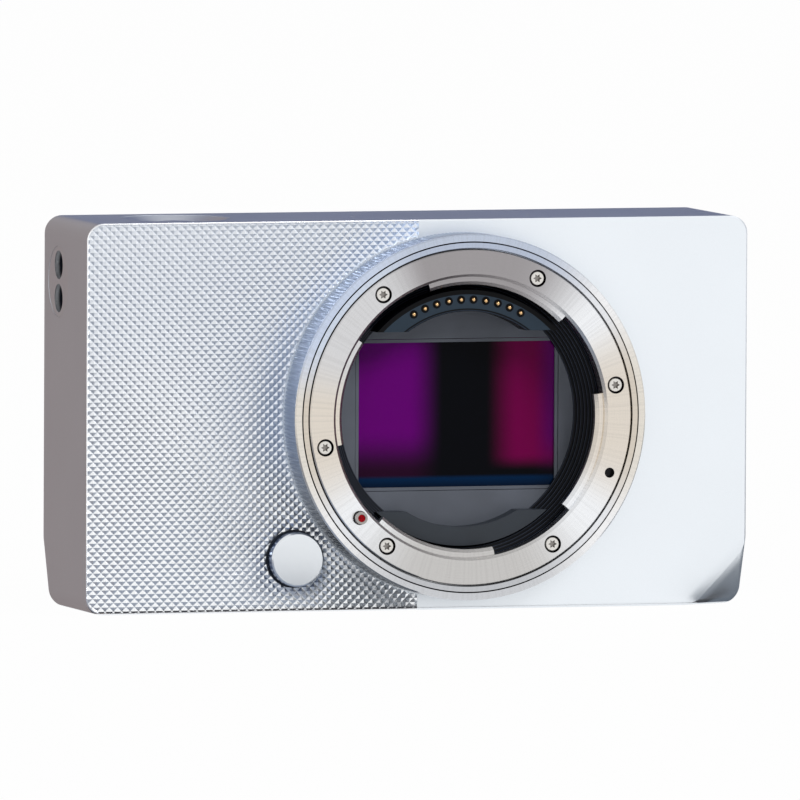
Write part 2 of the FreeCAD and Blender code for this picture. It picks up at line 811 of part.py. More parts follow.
def sector(radius, span, start, sweep):
    """A sector of a disc about the mount's axis, from start degrees anticlockwise seen from the front."""
    wedge = DOCUMENT.addObject("Part::Cylinder", "Sector")
    wedge.setExpression("Radius", formula(radius))
    wedge.setExpression("Height", formula(f"({span[1]}) - ({span[0]})"))
    wedge.setExpression("Angle", formula(sweep))
    turn = FreeCAD.Rotation(VECTOR(0, -1, 0), amount(start)) * FreeCAD.Rotation(VECTOR(1, 0, 0), 90)
    wedge.Placement = FreeCAD.Placement(VECTOR(), turn)
    place(wedge, "mount_x", span[1], "mount_z")
    return wedge


def mount_flange():
    """The stainless flange with its four bayonet tabs and its holes."""
    ring = turned("flange_ring", [
        ("throat_radius", "flange_y + throat_chamfer"), ("throat_radius + throat_chamfer", "flange_y"),
        ("flange_radius - flange_chamfer", "flange_y"), ("flange_radius", "flange_y + flange_chamfer"),
        ("flange_radius", "seat_y"), ("throat_radius", "seat_y")], "mount_x", "0", "mount_z")
    tab_front, tab_back = "flange_y + tab_recess", "flange_y + tab_recess + tab_thickness"
    tab_outer = "throat_radius + tab_root"
    tab_ring = turned("tab_ring", [
        ("tab_radius", f"{tab_front} + tab_chamfer"), ("tab_radius + tab_chamfer", tab_front),
        (tab_outer, tab_front), (tab_outer, tab_back), ("tab_radius", tab_back)], "mount_x", "0", "mount_z")
    wedges = [sector(f"{tab_outer} + 1", (f"{tab_front} - 1", f"{tab_back} + 1"),
                     f"tab_{number}_start", f"tab_{number}_sweep")
              for number in ("one", "two", "three", "four")]
    tabs = common(tab_ring.body, fuse(*wedges))
    through = ("flange_y - 1", "seat_y + 1")
    sunk = "flange_y + screw_sunk + screw_head_height"
    holes = [mount_rod("screw_circle", angle, "screw_hole", through) for angle in SCREW_ANGLES]
    for angle in SCREW_ANGLES:
        holes.append(mount_rod("screw_circle", angle, "screw_head_radius + screw_head_ring",
                               ("flange_y - 1", sunk)))
    holes.append(mount_rod("pin_circle", "pin_angle", "pin_radius + moving_gap", through))
    holes.append(mount_rod("index_circle", "index_angle", "index_radius",
                           ("flange_y - 1", "flange_y + index_depth")))
    keep("mount_flange", cut(fuse(ring.body, tabs), *holes))


def star_prism(angle):
    """A triangular prism, half of a six-pointed screw recess."""
    prism = DOCUMENT.addObject("Part::Prism", "Star")
    prism.Polygon = 3
    prism.setExpression("Circumradius", formula("screw_star_radius"))
    prism.setExpression("Height", formula("screw_star_depth + 1"))
    turn = FreeCAD.Rotation(VECTOR(1, 0, 0), -90) * FreeCAD.Rotation(VECTOR(0, 0, 1), angle)
    prism.Placement = FreeCAD.Placement(VECTOR(), turn)
    place(prism, "0", "-1", "0")
    return prism


def screws(label, spots, top, length):
    """A group of identical pan head screws along Y, heads to the front at top."""
    items = []
    for number, (x, z) in enumerate(spots):
        body = turned(f"{label}_{number}", [
            ("0", "0"), ("screw_head_radius - screw_edge", "0"), ("screw_head_radius", "screw_edge"),
            ("screw_head_radius", "screw_head_height"), ("screw_shank_radius", "screw_head_height"),
            ("screw_shank_radius", f"{length}"), ("0", f"{length}")], "0", "0", "0").body
        screw = cut(body, star_prism(0), star_prism(60))
        half_turn = 0 if top == "flange_y + screw_sunk" else 180
        screw.Placement = FreeCAD.Placement(VECTOR(), FreeCAD.Rotation(VECTOR(0, 0, 1), half_turn))
        place(screw, x, top, z)
        items.append(screw)
    keep(label, group(items))


def bayonet_spring():
    """The spring ring behind the flange that draws a lens's tabs against it."""
    keep("bayonet_spring", turned("bayonet_ring", [
        ("chamber_outer - bayonet_spring_width", "seat_y"), ("chamber_outer", "seat_y"),
        ("chamber_outer", "seat_y + bayonet_spring_thickness"),
        ("chamber_outer - bayonet_spring_width", "seat_y + bayonet_spring_thickness")],
        "mount_x", "0", "mount_z").body)


# Light trap, contacts and sensor

def light_chamber():
    """The black tube behind the flange, ribbed inside so that it throws no light on the sensor."""
    start = "seat_y + bayonet_spring_thickness + part_gap"
    end = "inside_front - part_gap"
    profile = [("chamber_outer", end), ("chamber_outer", start)]
    for rib in range(4):
        low = f"{start} + {rib} * chamber_rib_pitch"
        high = f"{low} + chamber_rib_pitch / 2"
        profile += [("chamber_inner - chamber_rib", low), ("chamber_inner - chamber_rib", high),
                    ("chamber_inner", high)]
        if rib < 3:
            profile.append(("chamber_inner", f"{low} + chamber_rib_pitch"))
    profile.append(("chamber_inner", end))
    keep("light_chamber", turned("chamber", profile, "mount_x", "0", "mount_z").body)


def crescent(outer, inner, span, keep_z):
    """What a band of heights leaves of a ring about the mount's axis."""
    ring = tube("Y", outer, inner, span, ("mount_x", "mount_z"))
    across = (f"mount_x - {outer} - 1", f"mount_x + {outer} + 1")
    return common(ring, block(across, (f"{span[0]} - 1", f"{span[1]} + 1"), keep_z))


CONTACT_ANGLES = [f"90 + ({step} - 4.5) * contact_pitch" for step in range(10)]


def contacts():
    """The crescent block with its ten sprung pins, and the board behind them."""
    front = "flange_y + contact_block_depth"
    back = f"{front} + contact_block_length"
    above = ("mount_z + contact_block_rise", "mount_z + contact_block_outer + 1")
    solid = crescent("contact_block_outer", "contact_block_inner", (front, back), above)
    holes = [mount_rod("contact_circle", angle, "contact_radius + part_gap", (f"{front} - 1", f"{back} + 1"))
             for angle in CONTACT_ANGLES]
    keep("contact_block", cut(solid, *holes))
    span = (f"{front} - contact_proud", f"{back} - contact_travel - part_gap")
    keep("contact_pins", group([mount_rod("contact_circle", angle, "contact_radius", span)
                                for angle in CONTACT_ANGLES]))
    narrower = ("mount_z + contact_block_rise + contact_board_inset", "mount_z + contact_block_outer + 1")
    keep("contact_board", crescent("contact_block_outer - contact_board_inset",
                                   "contact_block_inner + contact_board_inset",
                                   (back, "window_y - fit_gap"), narrower))


def baffles():
    """The grey plate round the sensor window, the window's black frame and the lower crescent."""
    plate = rod("Y", "chamber_inner - part_gap", ("window_y", "baffle_back"), ("mount_x", "mount_z"))
    opening = centred("mount_x", "window_width", ("window_y - 1", "baffle_back + 1"),
                      "mount_z", "window_height")
    keep("baffle_plate", cut(plate, opening))
    frame = centred("mount_x", "window_width - 2 * part_gap", ("window_y + part_gap", "baffle_back"),
                    "mount_z", "window_height - 2 * part_gap")
    inside = centred("mount_x", "window_width - 2 * window_frame_width", ("window_y", "baffle_back + 1"),
                     "mount_z", "window_height - 2 * window_frame_width")
    keep("window_frame", cut(frame, inside))
    keep("lower_baffle", crescent("lower_baffle_outer", "lower_baffle_inner",
                                  ("window_y - lower_baffle_length", "window_y - fit_gap"),
                                  ("mount_z - lower_baffle_outer - 1", "mount_z - lower_baffle_drop")))


def sensor_stack():
    """The filter, the holder, the sensor on its board and the heat plate, front to back."""
    width, height = "window_width + 2 * filter_margin", "window_height + 2 * filter_margin"
    filter_y = ("baffle_back + fit_gap", "baffle_back + fit_gap + filter_thickness")
    keep("sensor_filter", centred("mount_x", width, filter_y, "mount_z", height))
    holder_y = ("inside_front", "sensor_board_y")
    outside = centred("mount_x", f"{width} + 2 * holder_wall", holder_y,
                      "mount_z", f"{height} + 2 * holder_wall")
    inside = centred("mount_x", f"{width} + 4 * part_gap", ("inside_front - 1", "sensor_board_y + 1"),
                     "mount_z", f"{height} + 4 * part_gap")
    keep("sensor_holder", cut(outside, inside))
    keep("image_sensor", centred("mount_x", "sensor_width", ("sensor_y", "package_y"),
                                 "mount_z", "sensor_height"))
    keep("sensor_package", centred("mount_x", "sensor_width + 2 * sensor_package_margin",
                                   ("package_y", "sensor_board_y"), "mount_z",
                                   "sensor_height + 2 * sensor_package_margin"))
    keep("sensor_board", centred("mount_x", f"{width} + 2 * holder_wall", ("sensor_board_y", "heat_y"),
                                 "mount_z", f"{height} + 2 * holder_wall"))
    keep("heat_plate", centred("mount_x", f"{width} + 2 * holder_wall + 2 * heat_plate_margin",
                               ("heat_y", "chassis_y"), "mount_z",
                               f"{height} + 2 * holder_wall + 2 * heat_plate_margin"))


# Lens release

def disc_spring(name, inner, outer, span, x, y, z, axis="Y"):
    """A stack of four spring cones joined edge to edge, between two expressions along its axis."""
    low, high = span
    rise = f"(({high}) - ({low}) - spring_gauge) / 4"
    zigzag = [(outer if cone % 2 else inner, f"({low}) + {cone} * {rise}") for cone in range(5)]
    back = [(radius, f"{length} + spring_gauge") for radius, length in reversed(zigzag)]
    return turned(name, zigzag + back, x, y, z, axis).body


def lens_release():
    """The button, the yoke behind the front wall, the lock pin it carries, and the return spring."""
    top = "front_y - release_proud"
    head = turned("release_head", [
        ("0", top), ("release_radius - release_edge", top), ("release_radius", f"{top} + release_edge"),
        ("release_radius", "yoke_y"), ("0", "yoke_y")], "release_x", "0", "release_z")
    keep("lens_release_button", head.body)
    yoke_span = ("yoke_y", "yoke_back")
    ends = [rod("Y", "release_radius", yoke_span, ("release_x", "release_z")),
            rod("Y", "yoke_half_width", yoke_span, ("pin_x", "pin_z"))]
    run_x, run_z = amount("pin_x - release_x"), amount("pin_z - release_z")
    bar = DOCUMENT.addObject("Part::Box", "Yoke_bar")
    bar.setExpression("Length", formula("sqrt((pin_x - release_x)^2 + (pin_z - release_z)^2)"))
    bar.setExpression("Width", formula("yoke_thickness"))
    bar.setExpression("Height", formula("2 * yoke_half_width"))
    tilt = FreeCAD.Rotation(VECTOR(0, -1, 0), math.degrees(math.atan2(run_z, run_x)))
    bar.Placement = FreeCAD.Placement(VECTOR(), tilt)
    side = tilt.multVec(VECTOR(0, 0, -1)) * amount("yoke_half_width")
    place(bar, f"release_x + ({side.x})", "yoke_y", f"release_z + ({side.z})")
    keep("release_yoke", fuse(bar, *ends))

    tip = "flange_y - pin_proud"
    tip_floor, shoulder = f"{tip} + pin_tip_depth", f"{tip} + pin_head_length"
    keep("lens_lock_pin", turned("pin_body", [
        ("0", tip_floor), ("pin_tip_radius", tip_floor), ("pin_tip_radius", tip), ("pin_radius", tip),
        ("pin_radius", shoulder), ("pin_shank_radius", shoulder), ("pin_shank_radius", "yoke_y"),
        ("0", "yoke_y")], "pin_x", "0", "pin_z").body)
    keep("release_spring", disc_spring(
        "release_discs", "release_spigot_radius + moving_gap", "release_post_radius",
        ("yoke_back + fit_gap", "release_post_y - fit_gap"), "release_x", "0", "release_z"))


# Chassis and boards

def chassis():
    """The inner plate with its standoffs, spring post and screws, and the boards and chips."""
    plate = block(("chassis_left", "chassis_right"), ("chassis_y", "chassis_back"),
                  ("chassis_bottom", "chassis_top"))
    low, high = "board_bottom + standoff_inset", "board_top - standoff_inset"
    left, right = "board_left + standoff_inset", "board_right - standoff_right_inset"
    additions = [rod("Y", "standoff_radius", ("chassis_back", "board_y"), (x, z))
                 for x in (left, right) for z in (low, high)]
    release = ("release_x", "release_z")
    additions.append(rod("Y", "release_post_radius", ("release_post_y", "chassis_y"), release))
    additions.append(rod("Y", "release_spigot_radius",
                         ("release_post_y - release_spigot_length", "release_post_y"), release))
    holes = [rod("Y", "screw_hole", ("chassis_y - 1", "chassis_back + 1"), post) for post in POSTS]
    keep("chassis_plate", cut(fuse(plate, *additions), *holes))
    screws("chassis_screws", POSTS, "chassis_back + screw_head_height",
           "screw_head_height + chassis_thickness + post_screw_depth")
    keep("main_board", block(("board_left", "board_right"), ("board_y", "board_back"),
                             ("board_bottom", "board_top")))
    keep("image_processor", centred("processor_x", "processor_side",
                                    ("board_back", "board_back + processor_thickness"),
                                    "body_height / 2", "processor_side"))
    chips_z = "(body_height - processor_side - memory_height) / 2 - chip_gap"
    chips_y = ("board_back", "board_back + memory_thickness")
    keep("memory_chips", group([centred(f"processor_x + {step} * (memory_width + chip_gap)", "memory_width",
                                        chips_y, chips_z, "memory_height") for step in (-1, 0, 1)]))
    can_front = "board_y - shield_depth"
    can = centred("shield_x", "shield_width", (can_front, "board_y"), "shield_z", "shield_height")
    hollow = centred("shield_x", "shield_width - 2 * shield_wall",
                     (f"{can_front} + shield_wall", "board_y + 1"),
                     "shield_z", "shield_height - 2 * shield_wall")
    keep("shield_can", cut(can, hollow))


# Rear cover, displays and controls

def rear_cover():
    """The back plate, let into the shell, with its recesses and holes."""
    piece = Piece("rear_cover_plate")
    plan = piece.sketch("cover_outline", "XZ", "-back_y")
    notch_x, notch_z = "corner_x - half_width + part_gap", "corner_z + part_gap"
    outline(plan, [(notch_x, "cover_bottom"), ("cover_right", "cover_bottom"), ("cover_right", "cover_top"),
                   ("cover_left", "cover_top"), ("cover_left", notch_z), (notch_x, notch_z)])
    piece.pad(plan, "cover_thickness", reverse=True)
    place(piece.body, "0", "-cover_thickness", "0")
    recess_y = ("back_y - glass_thickness - part_gap", "back_y + 1")
    through_y = ("cover_y - 1", "back_y + 1")
    tools = [
        centred("display_x", "display_width", recess_y, "display_z", "display_height"),
        centred("display_x", "display_width - 2 * display_ledge", through_y, "display_z",
                "display_height - 2 * display_ledge"),
        centred("status_x", "status_width", recess_y, "status_z", "status_height"),
        centred("status_x", "status_width - 2 * status_ledge", through_y, "status_z",
                "status_height - 2 * status_ledge"),
        rod("Y", "dial_radius + moving_gap", through_y, ("dial_x", "dial_z"))]
    for x, z in BUTTONS.values():
        tools.append(rod("Y", "button_radius + moving_gap", through_y, (x, z)))
    for spot in COVER_SCREWS:
        tools.append(rod("Y", "screw_hole", through_y, spot))
        tools.append(rod("Y", "screw_head_radius + fit_gap",
                         ("back_y - screw_head_height - fit_gap", "back_y + 1"), spot))
    keep("rear_cover", cut(piece.body, *tools))
    screws("cover_screws", COVER_SCREWS, "back_y - fit_gap", "cover_screw_length - cover_screw_short")


BUTTONS = {
    "play_button": ("dial_x - button_spacing / 2", "button_row_z"),
    "option_button": ("dial_x + button_spacing / 2", "button_row_z"),
    "power_button": ("power_x", "power_z"),
}


def displays():
    """The two cover glasses, and the panel behind each one."""
    glass_y = ("back_y - glass_thickness - fit_gap", "back_y - fit_gap")
    for name, thickness in (("display", "display_panel_thickness"), ("status", "status_panel_thickness")):
        width, height = f"{name}_width - 2 * part_gap", f"{name}_height - 2 * part_gap"
        keep(f"{name}_glass", centred(f"{name}_x", width, glass_y, f"{name}_z", height))
        frame = f"(2 * {name}_ledge + 4 * part_gap)"
        keep(f"{name}_panel", centred(f"{name}_x", f"{name}_width - {frame}",
                                      (f"{glass_y[0]} - {thickness}", glass_y[0]),
                                      f"{name}_z", f"{name}_height - {frame}"))


def control_dial():
    """The dial that turns on the encoder's bearing, and the button in its middle."""
    top = "back_y + control_proud"
    under = f"{top} - dial_flange"
    keep("control_dial", turned("dial", [
        ("dial_hole_radius", f"{top} - dial_dish"), ("dial_radius - dial_rim", top),
        ("dial_radius - dial_edge", top), ("dial_radius", f"{top} - dial_edge"), ("dial_radius", under),
        ("dial_boss_radius", under), ("dial_boss_radius", f"{under} - dial_boss_length"),
        ("dial_hole_radius", f"{under} - dial_boss_length")],
        "dial_x", "0", "dial_z").body)
    bearing_y = ("button_board_y", "button_board_y + encoder_height")
    keep("dial_encoder", tube("Y", "encoder_radius", "dial_boss_radius + fit_gap", bearing_y,
                              ("dial_x", "dial_z")))
    cap = f"{top} - dial_dish - centre_sunk"
    cap_radius, cap_under = "dial_hole_radius - moving_gap", "switch_back + button_travel + moving_gap"
    keep("dial_centre_button", turned("centre_cap", [
        ("0", cap), (f"{cap_radius} - button_edge", cap), (cap_radius, f"{cap} - button_edge"),
        (cap_radius, cap_under), ("0", cap_under)], "dial_x", "0", "dial_z").body)


def buttons():
    """The round buttons on the back, and the board with a switch under each one."""
    top = "back_y + button_proud"
    under = "switch_back + button_travel + moving_gap"
    for name, (x, z) in BUTTONS.items():
        keep(name, turned(f"{name}_cap", [
            ("0", top), ("button_radius - button_edge", top), ("button_radius", f"{top} - button_edge"),
            ("button_radius", under), ("0", under)], x, "0", z).body)
    keep("button_board", block(("-half_width + side_wall + button_board_left_gap", "button_board_right"),
                               ("button_board_y - button_board_thickness", "button_board_y"),
                               ("button_board_bottom", "body_height - button_board_top_gap")))
    spots = list(BUTTONS.values()) + [("dial_x", "dial_z")]
    switch_y = ("button_board_y", "switch_back")
    keep("button_switches", group([centred(x, "switch_side", switch_y, z, "switch_side") for x, z in spots]))


# Shutter release

def shutter_release():
    """The dish in the top with its guide, the button, its spring and its switch."""
    top = "body_height - fit_gap"
    well = "shutter_radius + moving_gap"
    floor = f"{top} - guide_depth"
    stem_hole = "shutter_stem_radius + moving_gap"
    keep("shutter_dish", turned("dish", [
        ("dish_radius", f"{top} - dish_thickness"), ("dish_radius", top), ("dish_radius - dish_rim", top),
        ("(dish_radius + shutter_radius) / 2", f"{top} - 0.8 * dish_drop"), (well, f"{top} - dish_drop"),
        (well, floor), (stem_hole, floor), (stem_hole, f"{floor} - guide_floor"),
        ("guide_radius", f"{floor} - guide_floor"), ("guide_radius", f"{top} - dish_thickness")],
        "shutter_x", "middle_y", "0", "Z").body)
    switch_top = "bay_height + bay_wall + shutter_switch_height"
    cap = "body_height - shutter_sunk"
    stem_end = f"{switch_top} + shutter_travel + moving_gap"
    keep("shutter_button", turned("shutter_cap_body", [
        ("0", cap), ("shutter_radius / 2", f"{cap} - shutter_crown / 4"),
        ("shutter_radius", f"{cap} - shutter_crown"),
        ("shutter_radius", f"{cap} - shutter_cap"), ("shutter_stem_radius", f"{cap} - shutter_cap"),
        ("shutter_stem_radius", stem_end), ("0", stem_end)], "shutter_x", "middle_y", "0", "Z").body)
    keep("shutter_spring", disc_spring(
        "shutter_discs", stem_hole, "shutter_radius",
        (f"{floor} + fit_gap", f"{cap} - shutter_cap - fit_gap"), "shutter_x", "middle_y", "0", "Z"))
    reach = "shutter_switch_width / 2"
    keep("shutter_switch", block((f"shutter_x - {reach}", f"shutter_x + {reach}"),
                                 (f"middle_y - {reach}", f"middle_y + {reach}"),
                                 ("bay_height + bay_wall", switch_top)))


# Side and top fittings

def strap_boss():
    """The round insert in the left side with two holes that meet behind a bar."""
    left = "-half_width"
    boss = rod("X", "strap_radius", (f"{left} + fit_gap", f"{left} + strap_depth"), ("strap_y", "strap_z"))
    behind_bar = (f"{left} + strap_bar_depth", f"{left} + strap_hole_depth")
    slot_radius = "(strap_hole_radius + strap_slot_step)"
    tools = [block(behind_bar, (f"strap_y - {slot_radius}", f"strap_y + {slot_radius}"),
                   ("strap_z - strap_hole_spacing / 2", "strap_z + strap_hole_spacing / 2"))]
    for sign in (-1, 1):
        spot = ("strap_y", f"strap_z + {sign} * strap_hole_spacing / 2")
        tools.append(rod("X", "strap_hole_radius",
                         (f"{left} - 1", f"{left} + strap_bar_depth + fit_gap"), spot))
        tools.append(rod("X", slot_radius, behind_bar, spot))
    keep("strap_boss", cut(boss, *tools))


def ports():
    """The USB connector, the speaker and the two microphones."""
    end = "half_width - usb_sunk"
    start = f"{end} - usb_depth"
    socket = f"{start} + usb_back_wall"
    keep("usb_shell", cut(usb_stadium("0", (start, end)),
                          usb_stadium("(-usb_wall)", (socket, f"{end} + 1"))))
    half = "usb_tongue_thickness / 2"
    reach = "(usb_width / 2 - usb_tongue_inset)"
    keep("usb_tongue", block((socket, f"{end} - usb_tongue_sunk"), (f"usb_y - {half}", f"usb_y + {half}"),
                             (f"usb_z - {reach}", f"usb_z + {reach}")))
    inner = "half_width - side_wall"
    keep("speaker", block((f"{inner} - speaker_thickness", inner),
                          ("speaker_y - speaker_width / 2", "speaker_y + speaker_width / 2"),
                          ("speaker_z - speaker_height / 2", "speaker_z + speaker_height / 2")))
    under = "body_height - side_wall"
    mics = [block((f"{x} - mic_width / 2", f"{x} + mic_width / 2"),
                  ("mic_y - mic_width / 2", "mic_y + mic_width / 2"),
                  (f"{under} - mic_thickness", under)) for x in ("mic_one_x", "mic_two_x")]
    keep("microphones", group(mics))


# Battery, its bay and its latch

def battery():
    """The battery with its cap and seal, the bay that guides it and the contacts at the bay's end."""
    wall = "bay_wall"
    box = block((f"bay_left - {wall}", f"bay_right + {wall}"),
                (f"bay_front - {wall}", f"bay_back + {wall}"), ("side_wall", f"bay_height + {wall}"))
    space = block(("bay_left", "bay_right"), ("bay_front", "bay_back"), ("side_wall - 1", "bay_height"))
    slot = block(("bay_right - 1", f"bay_right + {wall} + 1"),
                 ("middle_y - latch_depth / 2 - moving_gap", "middle_y + latch_depth / 2 + moving_gap"),
                 ("side_wall - 1", "side_wall + latch_plate_thickness + moving_gap"))
    keep("battery_bay", cut(box, space, slot))
    across = ("bay_left + battery_gap", "bay_right - battery_gap")
    deep = ("bay_front + battery_gap", "bay_back - battery_gap")
    keep("battery_cap", block(across, deep, ("battery_raised", "battery_cap")))
    narrow = (f"{across[0]} + seal_inset", f"{across[1]} - seal_inset")
    shallow = (f"{deep[0]} + seal_inset", f"{deep[1]} - seal_inset")
    keep("battery_seal", block(narrow, shallow, ("battery_cap", "battery_cap + seal_thickness")))
    case = block(across, deep, ("battery_cap + seal_thickness", "battery_length"))
    middle_x = "(bay_left + bay_right) / 2"
    middle = "(bay_front + bay_back) / 2"
    spots = [f"{middle_x} + {step} * terminal_pitch" for step in (-1, 0, 1)]
    pads, plates, fingers = [], [], []
    finger_low = "battery_length + contact_gap"
    finger_top = f"{finger_low} + contact_finger"
    for x in spots:
        pads.append(block((f"{x} - terminal_width / 2", f"{x} + terminal_width / 2"),
                          (f"{middle} - terminal_width", f"{middle} + terminal_width"),
                          ("battery_length - terminal_depth", "battery_length")))
        plates.append(block((f"{x} - terminal_width / 2 + fit_gap", f"{x} + terminal_width / 2 - fit_gap"),
                            (f"{middle} - terminal_width + fit_gap", f"{middle} + terminal_width - fit_gap"),
                            ("battery_length - terminal_depth", "battery_length")))
        fingers.append(block((f"{x} - terminal_width / 4", f"{x} + terminal_width / 4"),
                             (f"{middle} - terminal_width / 2", f"{middle} + terminal_width / 2"),
                             (finger_low, finger_top)))
    keep("battery_case", cut(case, *pads))
    keep("battery_terminals", group(plates))
    base = block((f"{spots[0]} - terminal_width", f"{spots[2]} + terminal_width"),
                 (f"{middle} - 1.5 * terminal_width", f"{middle} + 1.5 * terminal_width"),
                 (finger_top, "bay_height"))
    keep("battery_contacts", fuse(base, *fingers))


def battery_latch():
    """The slider beside the battery, with its knob in the base."""
    plate = block(("bay_right - battery_gap + latch_gap", "knob_x + latch_width + latch_plate_reach"),
                  ("middle_y - latch_depth / 2", "middle_y + latch_depth / 2"),
                  ("side_wall + part_gap", "side_wall + latch_plate_thickness"))
    knob = block(("knob_x", "knob_x + latch_width"),
                 ("middle_y - latch_depth / 2", "middle_y + latch_depth / 2"),
                 ("latch_sunk", "side_wall + latch_plate_thickness"))
    keep("battery_latch", fuse(plate, knob))


def tripod_bush():
    """The steel bush with the tripod thread in the base, on the mount's centre line."""
    bush = rod("Z", "bush_radius", ("0", "bush_height"), ("mount_x", "middle_y"))
    bore = rod("Z", "bush_bore_radius", ("-1", "bush_bore_depth"), ("mount_x", "middle_y"))
    keep("tripod_bush", cut(bush, bore))


body_shell()
mount_collar()
trim_ring()
mount_flange()
screws("mount_screws", [around_mount("screw_circle", angle) for angle in SCREW_ANGLES],
       "flange_y + screw_sunk", "inside_front - flange_y - screw_sunk")
bayonet_spring()
light_chamber()
contacts()
baffles()
sensor_stack()
lens_release()
chassis()
rear_cover()
displays()
control_dial()
buttons()
shutter_release()
strap_boss()
ports()
battery()
battery_latch()
tripod_bush()
DOCUMENT.recompute()

# Every object is sound before anything is written
for item in DOCUMENT.Objects:
    if "Invalid" in item.State or "Error" in item.State:
        raise RuntimeError(f"{item.Name} failed: {item.State}")
os.makedirs("parts", exist_ok=True)
for item in NODES:
    if item.Shape.isNull() or not item.Shape.isValid() or item.Shape.Volume < 1e-3:
        raise RuntimeError(f"{item.Label} has no sound solid")
    item.Shape.exportStep(f"parts/{item.Label}.step")
    print(f"{item.Label}: {len(item.Shape.Solids)} solids, {item.Shape.Volume:.1f} mm3")
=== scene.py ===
import math

import bmesh
import bpy
from mathutils import Matrix, Vector


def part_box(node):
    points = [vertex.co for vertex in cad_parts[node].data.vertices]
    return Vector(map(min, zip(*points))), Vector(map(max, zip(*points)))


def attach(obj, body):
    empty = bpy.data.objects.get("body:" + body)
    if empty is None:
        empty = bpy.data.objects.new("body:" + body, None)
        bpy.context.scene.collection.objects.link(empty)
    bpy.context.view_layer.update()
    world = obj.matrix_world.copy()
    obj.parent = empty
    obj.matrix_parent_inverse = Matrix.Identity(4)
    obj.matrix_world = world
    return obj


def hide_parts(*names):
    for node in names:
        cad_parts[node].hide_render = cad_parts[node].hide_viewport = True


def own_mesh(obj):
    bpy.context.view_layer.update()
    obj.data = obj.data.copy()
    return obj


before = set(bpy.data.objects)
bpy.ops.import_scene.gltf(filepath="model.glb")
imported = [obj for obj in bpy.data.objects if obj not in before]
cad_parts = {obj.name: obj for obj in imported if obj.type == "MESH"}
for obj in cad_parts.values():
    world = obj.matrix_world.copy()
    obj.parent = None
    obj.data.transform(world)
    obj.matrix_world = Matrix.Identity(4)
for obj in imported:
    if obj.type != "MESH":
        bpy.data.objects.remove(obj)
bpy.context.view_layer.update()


# Body shell
# One block of aluminium, machined hollow and open at the back. It is blasted to an even fine grain, then anodised
# in its own silver colour. The finger facet at its front right corner runs softly into the front.

class Value:
    """A shader socket that joins in sums like a plain number."""

    def __init__(self, owner, socket):
        self.owner = owner
        self.socket = socket

    def maths(self, operation, *others):
        return self.owner.node("ShaderNodeMath", {"operation": operation}, dict(enumerate((self, *others))))

    def __add__(self, other):
        return self.maths("ADD", other)

    def __sub__(self, other):
        return self.maths("SUBTRACT", other)

    def __rsub__(self, other):
        return self.owner.node("ShaderNodeMath", {"operation": "SUBTRACT"}, {0: other, 1: self})

    def __mul__(self, other):
        return self.maths("MULTIPLY", other)

    def __lt__(self, other):
        return self.maths("LESS_THAN", other)

    def __gt__(self, other):
        return self.maths("GREATER_THAN", other)

    __radd__ = __add__
    __rmul__ = __mul__

    def smooth(self, low, high):
        """0 below low, 1 above high, and a soft step between."""
        return self.owner.node("ShaderNodeMapRange", {"interpolation_type": "SMOOTHSTEP"}, {0: self, 1: low, 2: high})

    def band(self, low, rise, fall, high):
        """1 from rise to fall, 0 below low and above high, and soft steps between."""
        return self.smooth(low, rise) * (1 - self.smooth(fall, high))


class NodeTree:
    """A shader's node tree, whose nodes are made and joined in one call."""

    def __init__(self, data):
        self.data = data

    def join(self, node, values):
        """Set a node's sockets to values, or link them where the value is a socket."""
        for key, value in values.items():
            if isinstance(value, Value):
                self.data.links.new(value.socket, node.inputs[key])
            else:
                node.inputs[key].default_value = value

    def node(self, kind, settings=(), values=(), output=0):
        """Make a node with its settings and its sockets' values, and give one of its outputs."""
        node = self.data.nodes.new(kind)
        for key, value in dict(settings).items():
            setattr(node, key, value)
        self.join(node, dict(values))
        return Value(self, node.outputs[output])


class Finish(NodeTree):
    """A material with one Principled shader, and the nodes that vary it over a piece."""

    def __init__(self, name, colour, metallic, roughness, constants=()):
        self.material = bpy.data.materials.new(name)
        self.material.use_nodes = True
        super().__init__(self.material.node_tree)
        self.shader = self.data.nodes["Principled BSDF"]
        self.vary({"Base Color": colour, "Metallic": metallic, "Roughness": roughness, **dict(constants)})

    def vary(self, values):
        self.join(self.shader, values)
        return self

    def place(self, centre=(0, 0, 0), scale=(1, 1, 1)):
        """Object coordinates from a centre, stretched by a scale."""
        here = self.node("ShaderNodeTexCoord", output=3)
        moved = self.node("ShaderNodeVectorMath", {"operation": "SUBTRACT"}, {0: here, 1: centre})
        return self.node("ShaderNodeVectorMath", {"operation": "MULTIPLY"}, {0: moved, 1: scale})

    def axes(self, centre=(0, 0, 0)):
        """The three coordinates from a centre, each as a value."""
        parts = self.node("ShaderNodeSeparateXYZ", (), {0: self.place(centre)})
        return [Value(self, socket) for socket in parts.socket.node.outputs]

    def reach(self, centre, across=(1, 0, 1)):
        """Distance from an axis through a centre, measured along the directions set to 1."""
        return self.node("ShaderNodeVectorMath", {"operation": "LENGTH"}, {0: self.place(centre, across)}, output=1)

    def noise(self, scale, detail=2.0):
        return self.node("ShaderNodeTexNoise", (), {"Vector": self.place(), "Scale": scale, "Detail": detail})

    def rings(self, reach, scale, detail=2.0):
        """Turning marks: noise that changes only with the distance from an axis."""
        return self.node("ShaderNodeTexNoise", {"noise_dimensions": "1D"}, {
            "W": reach, "Scale": scale, "Detail": detail})

    def mix(self, factor, low, high):
        return self.node("ShaderNodeMix", {"data_type": "RGBA"}, {0: factor, 6: low, 7: high}, output=2)

    def bump(self, height, distance, strength=1.0):
        self.vary({"Normal": self.node("ShaderNodeBump", (), {
            "Height": height, "Distance": distance, "Strength": strength})})
        return self


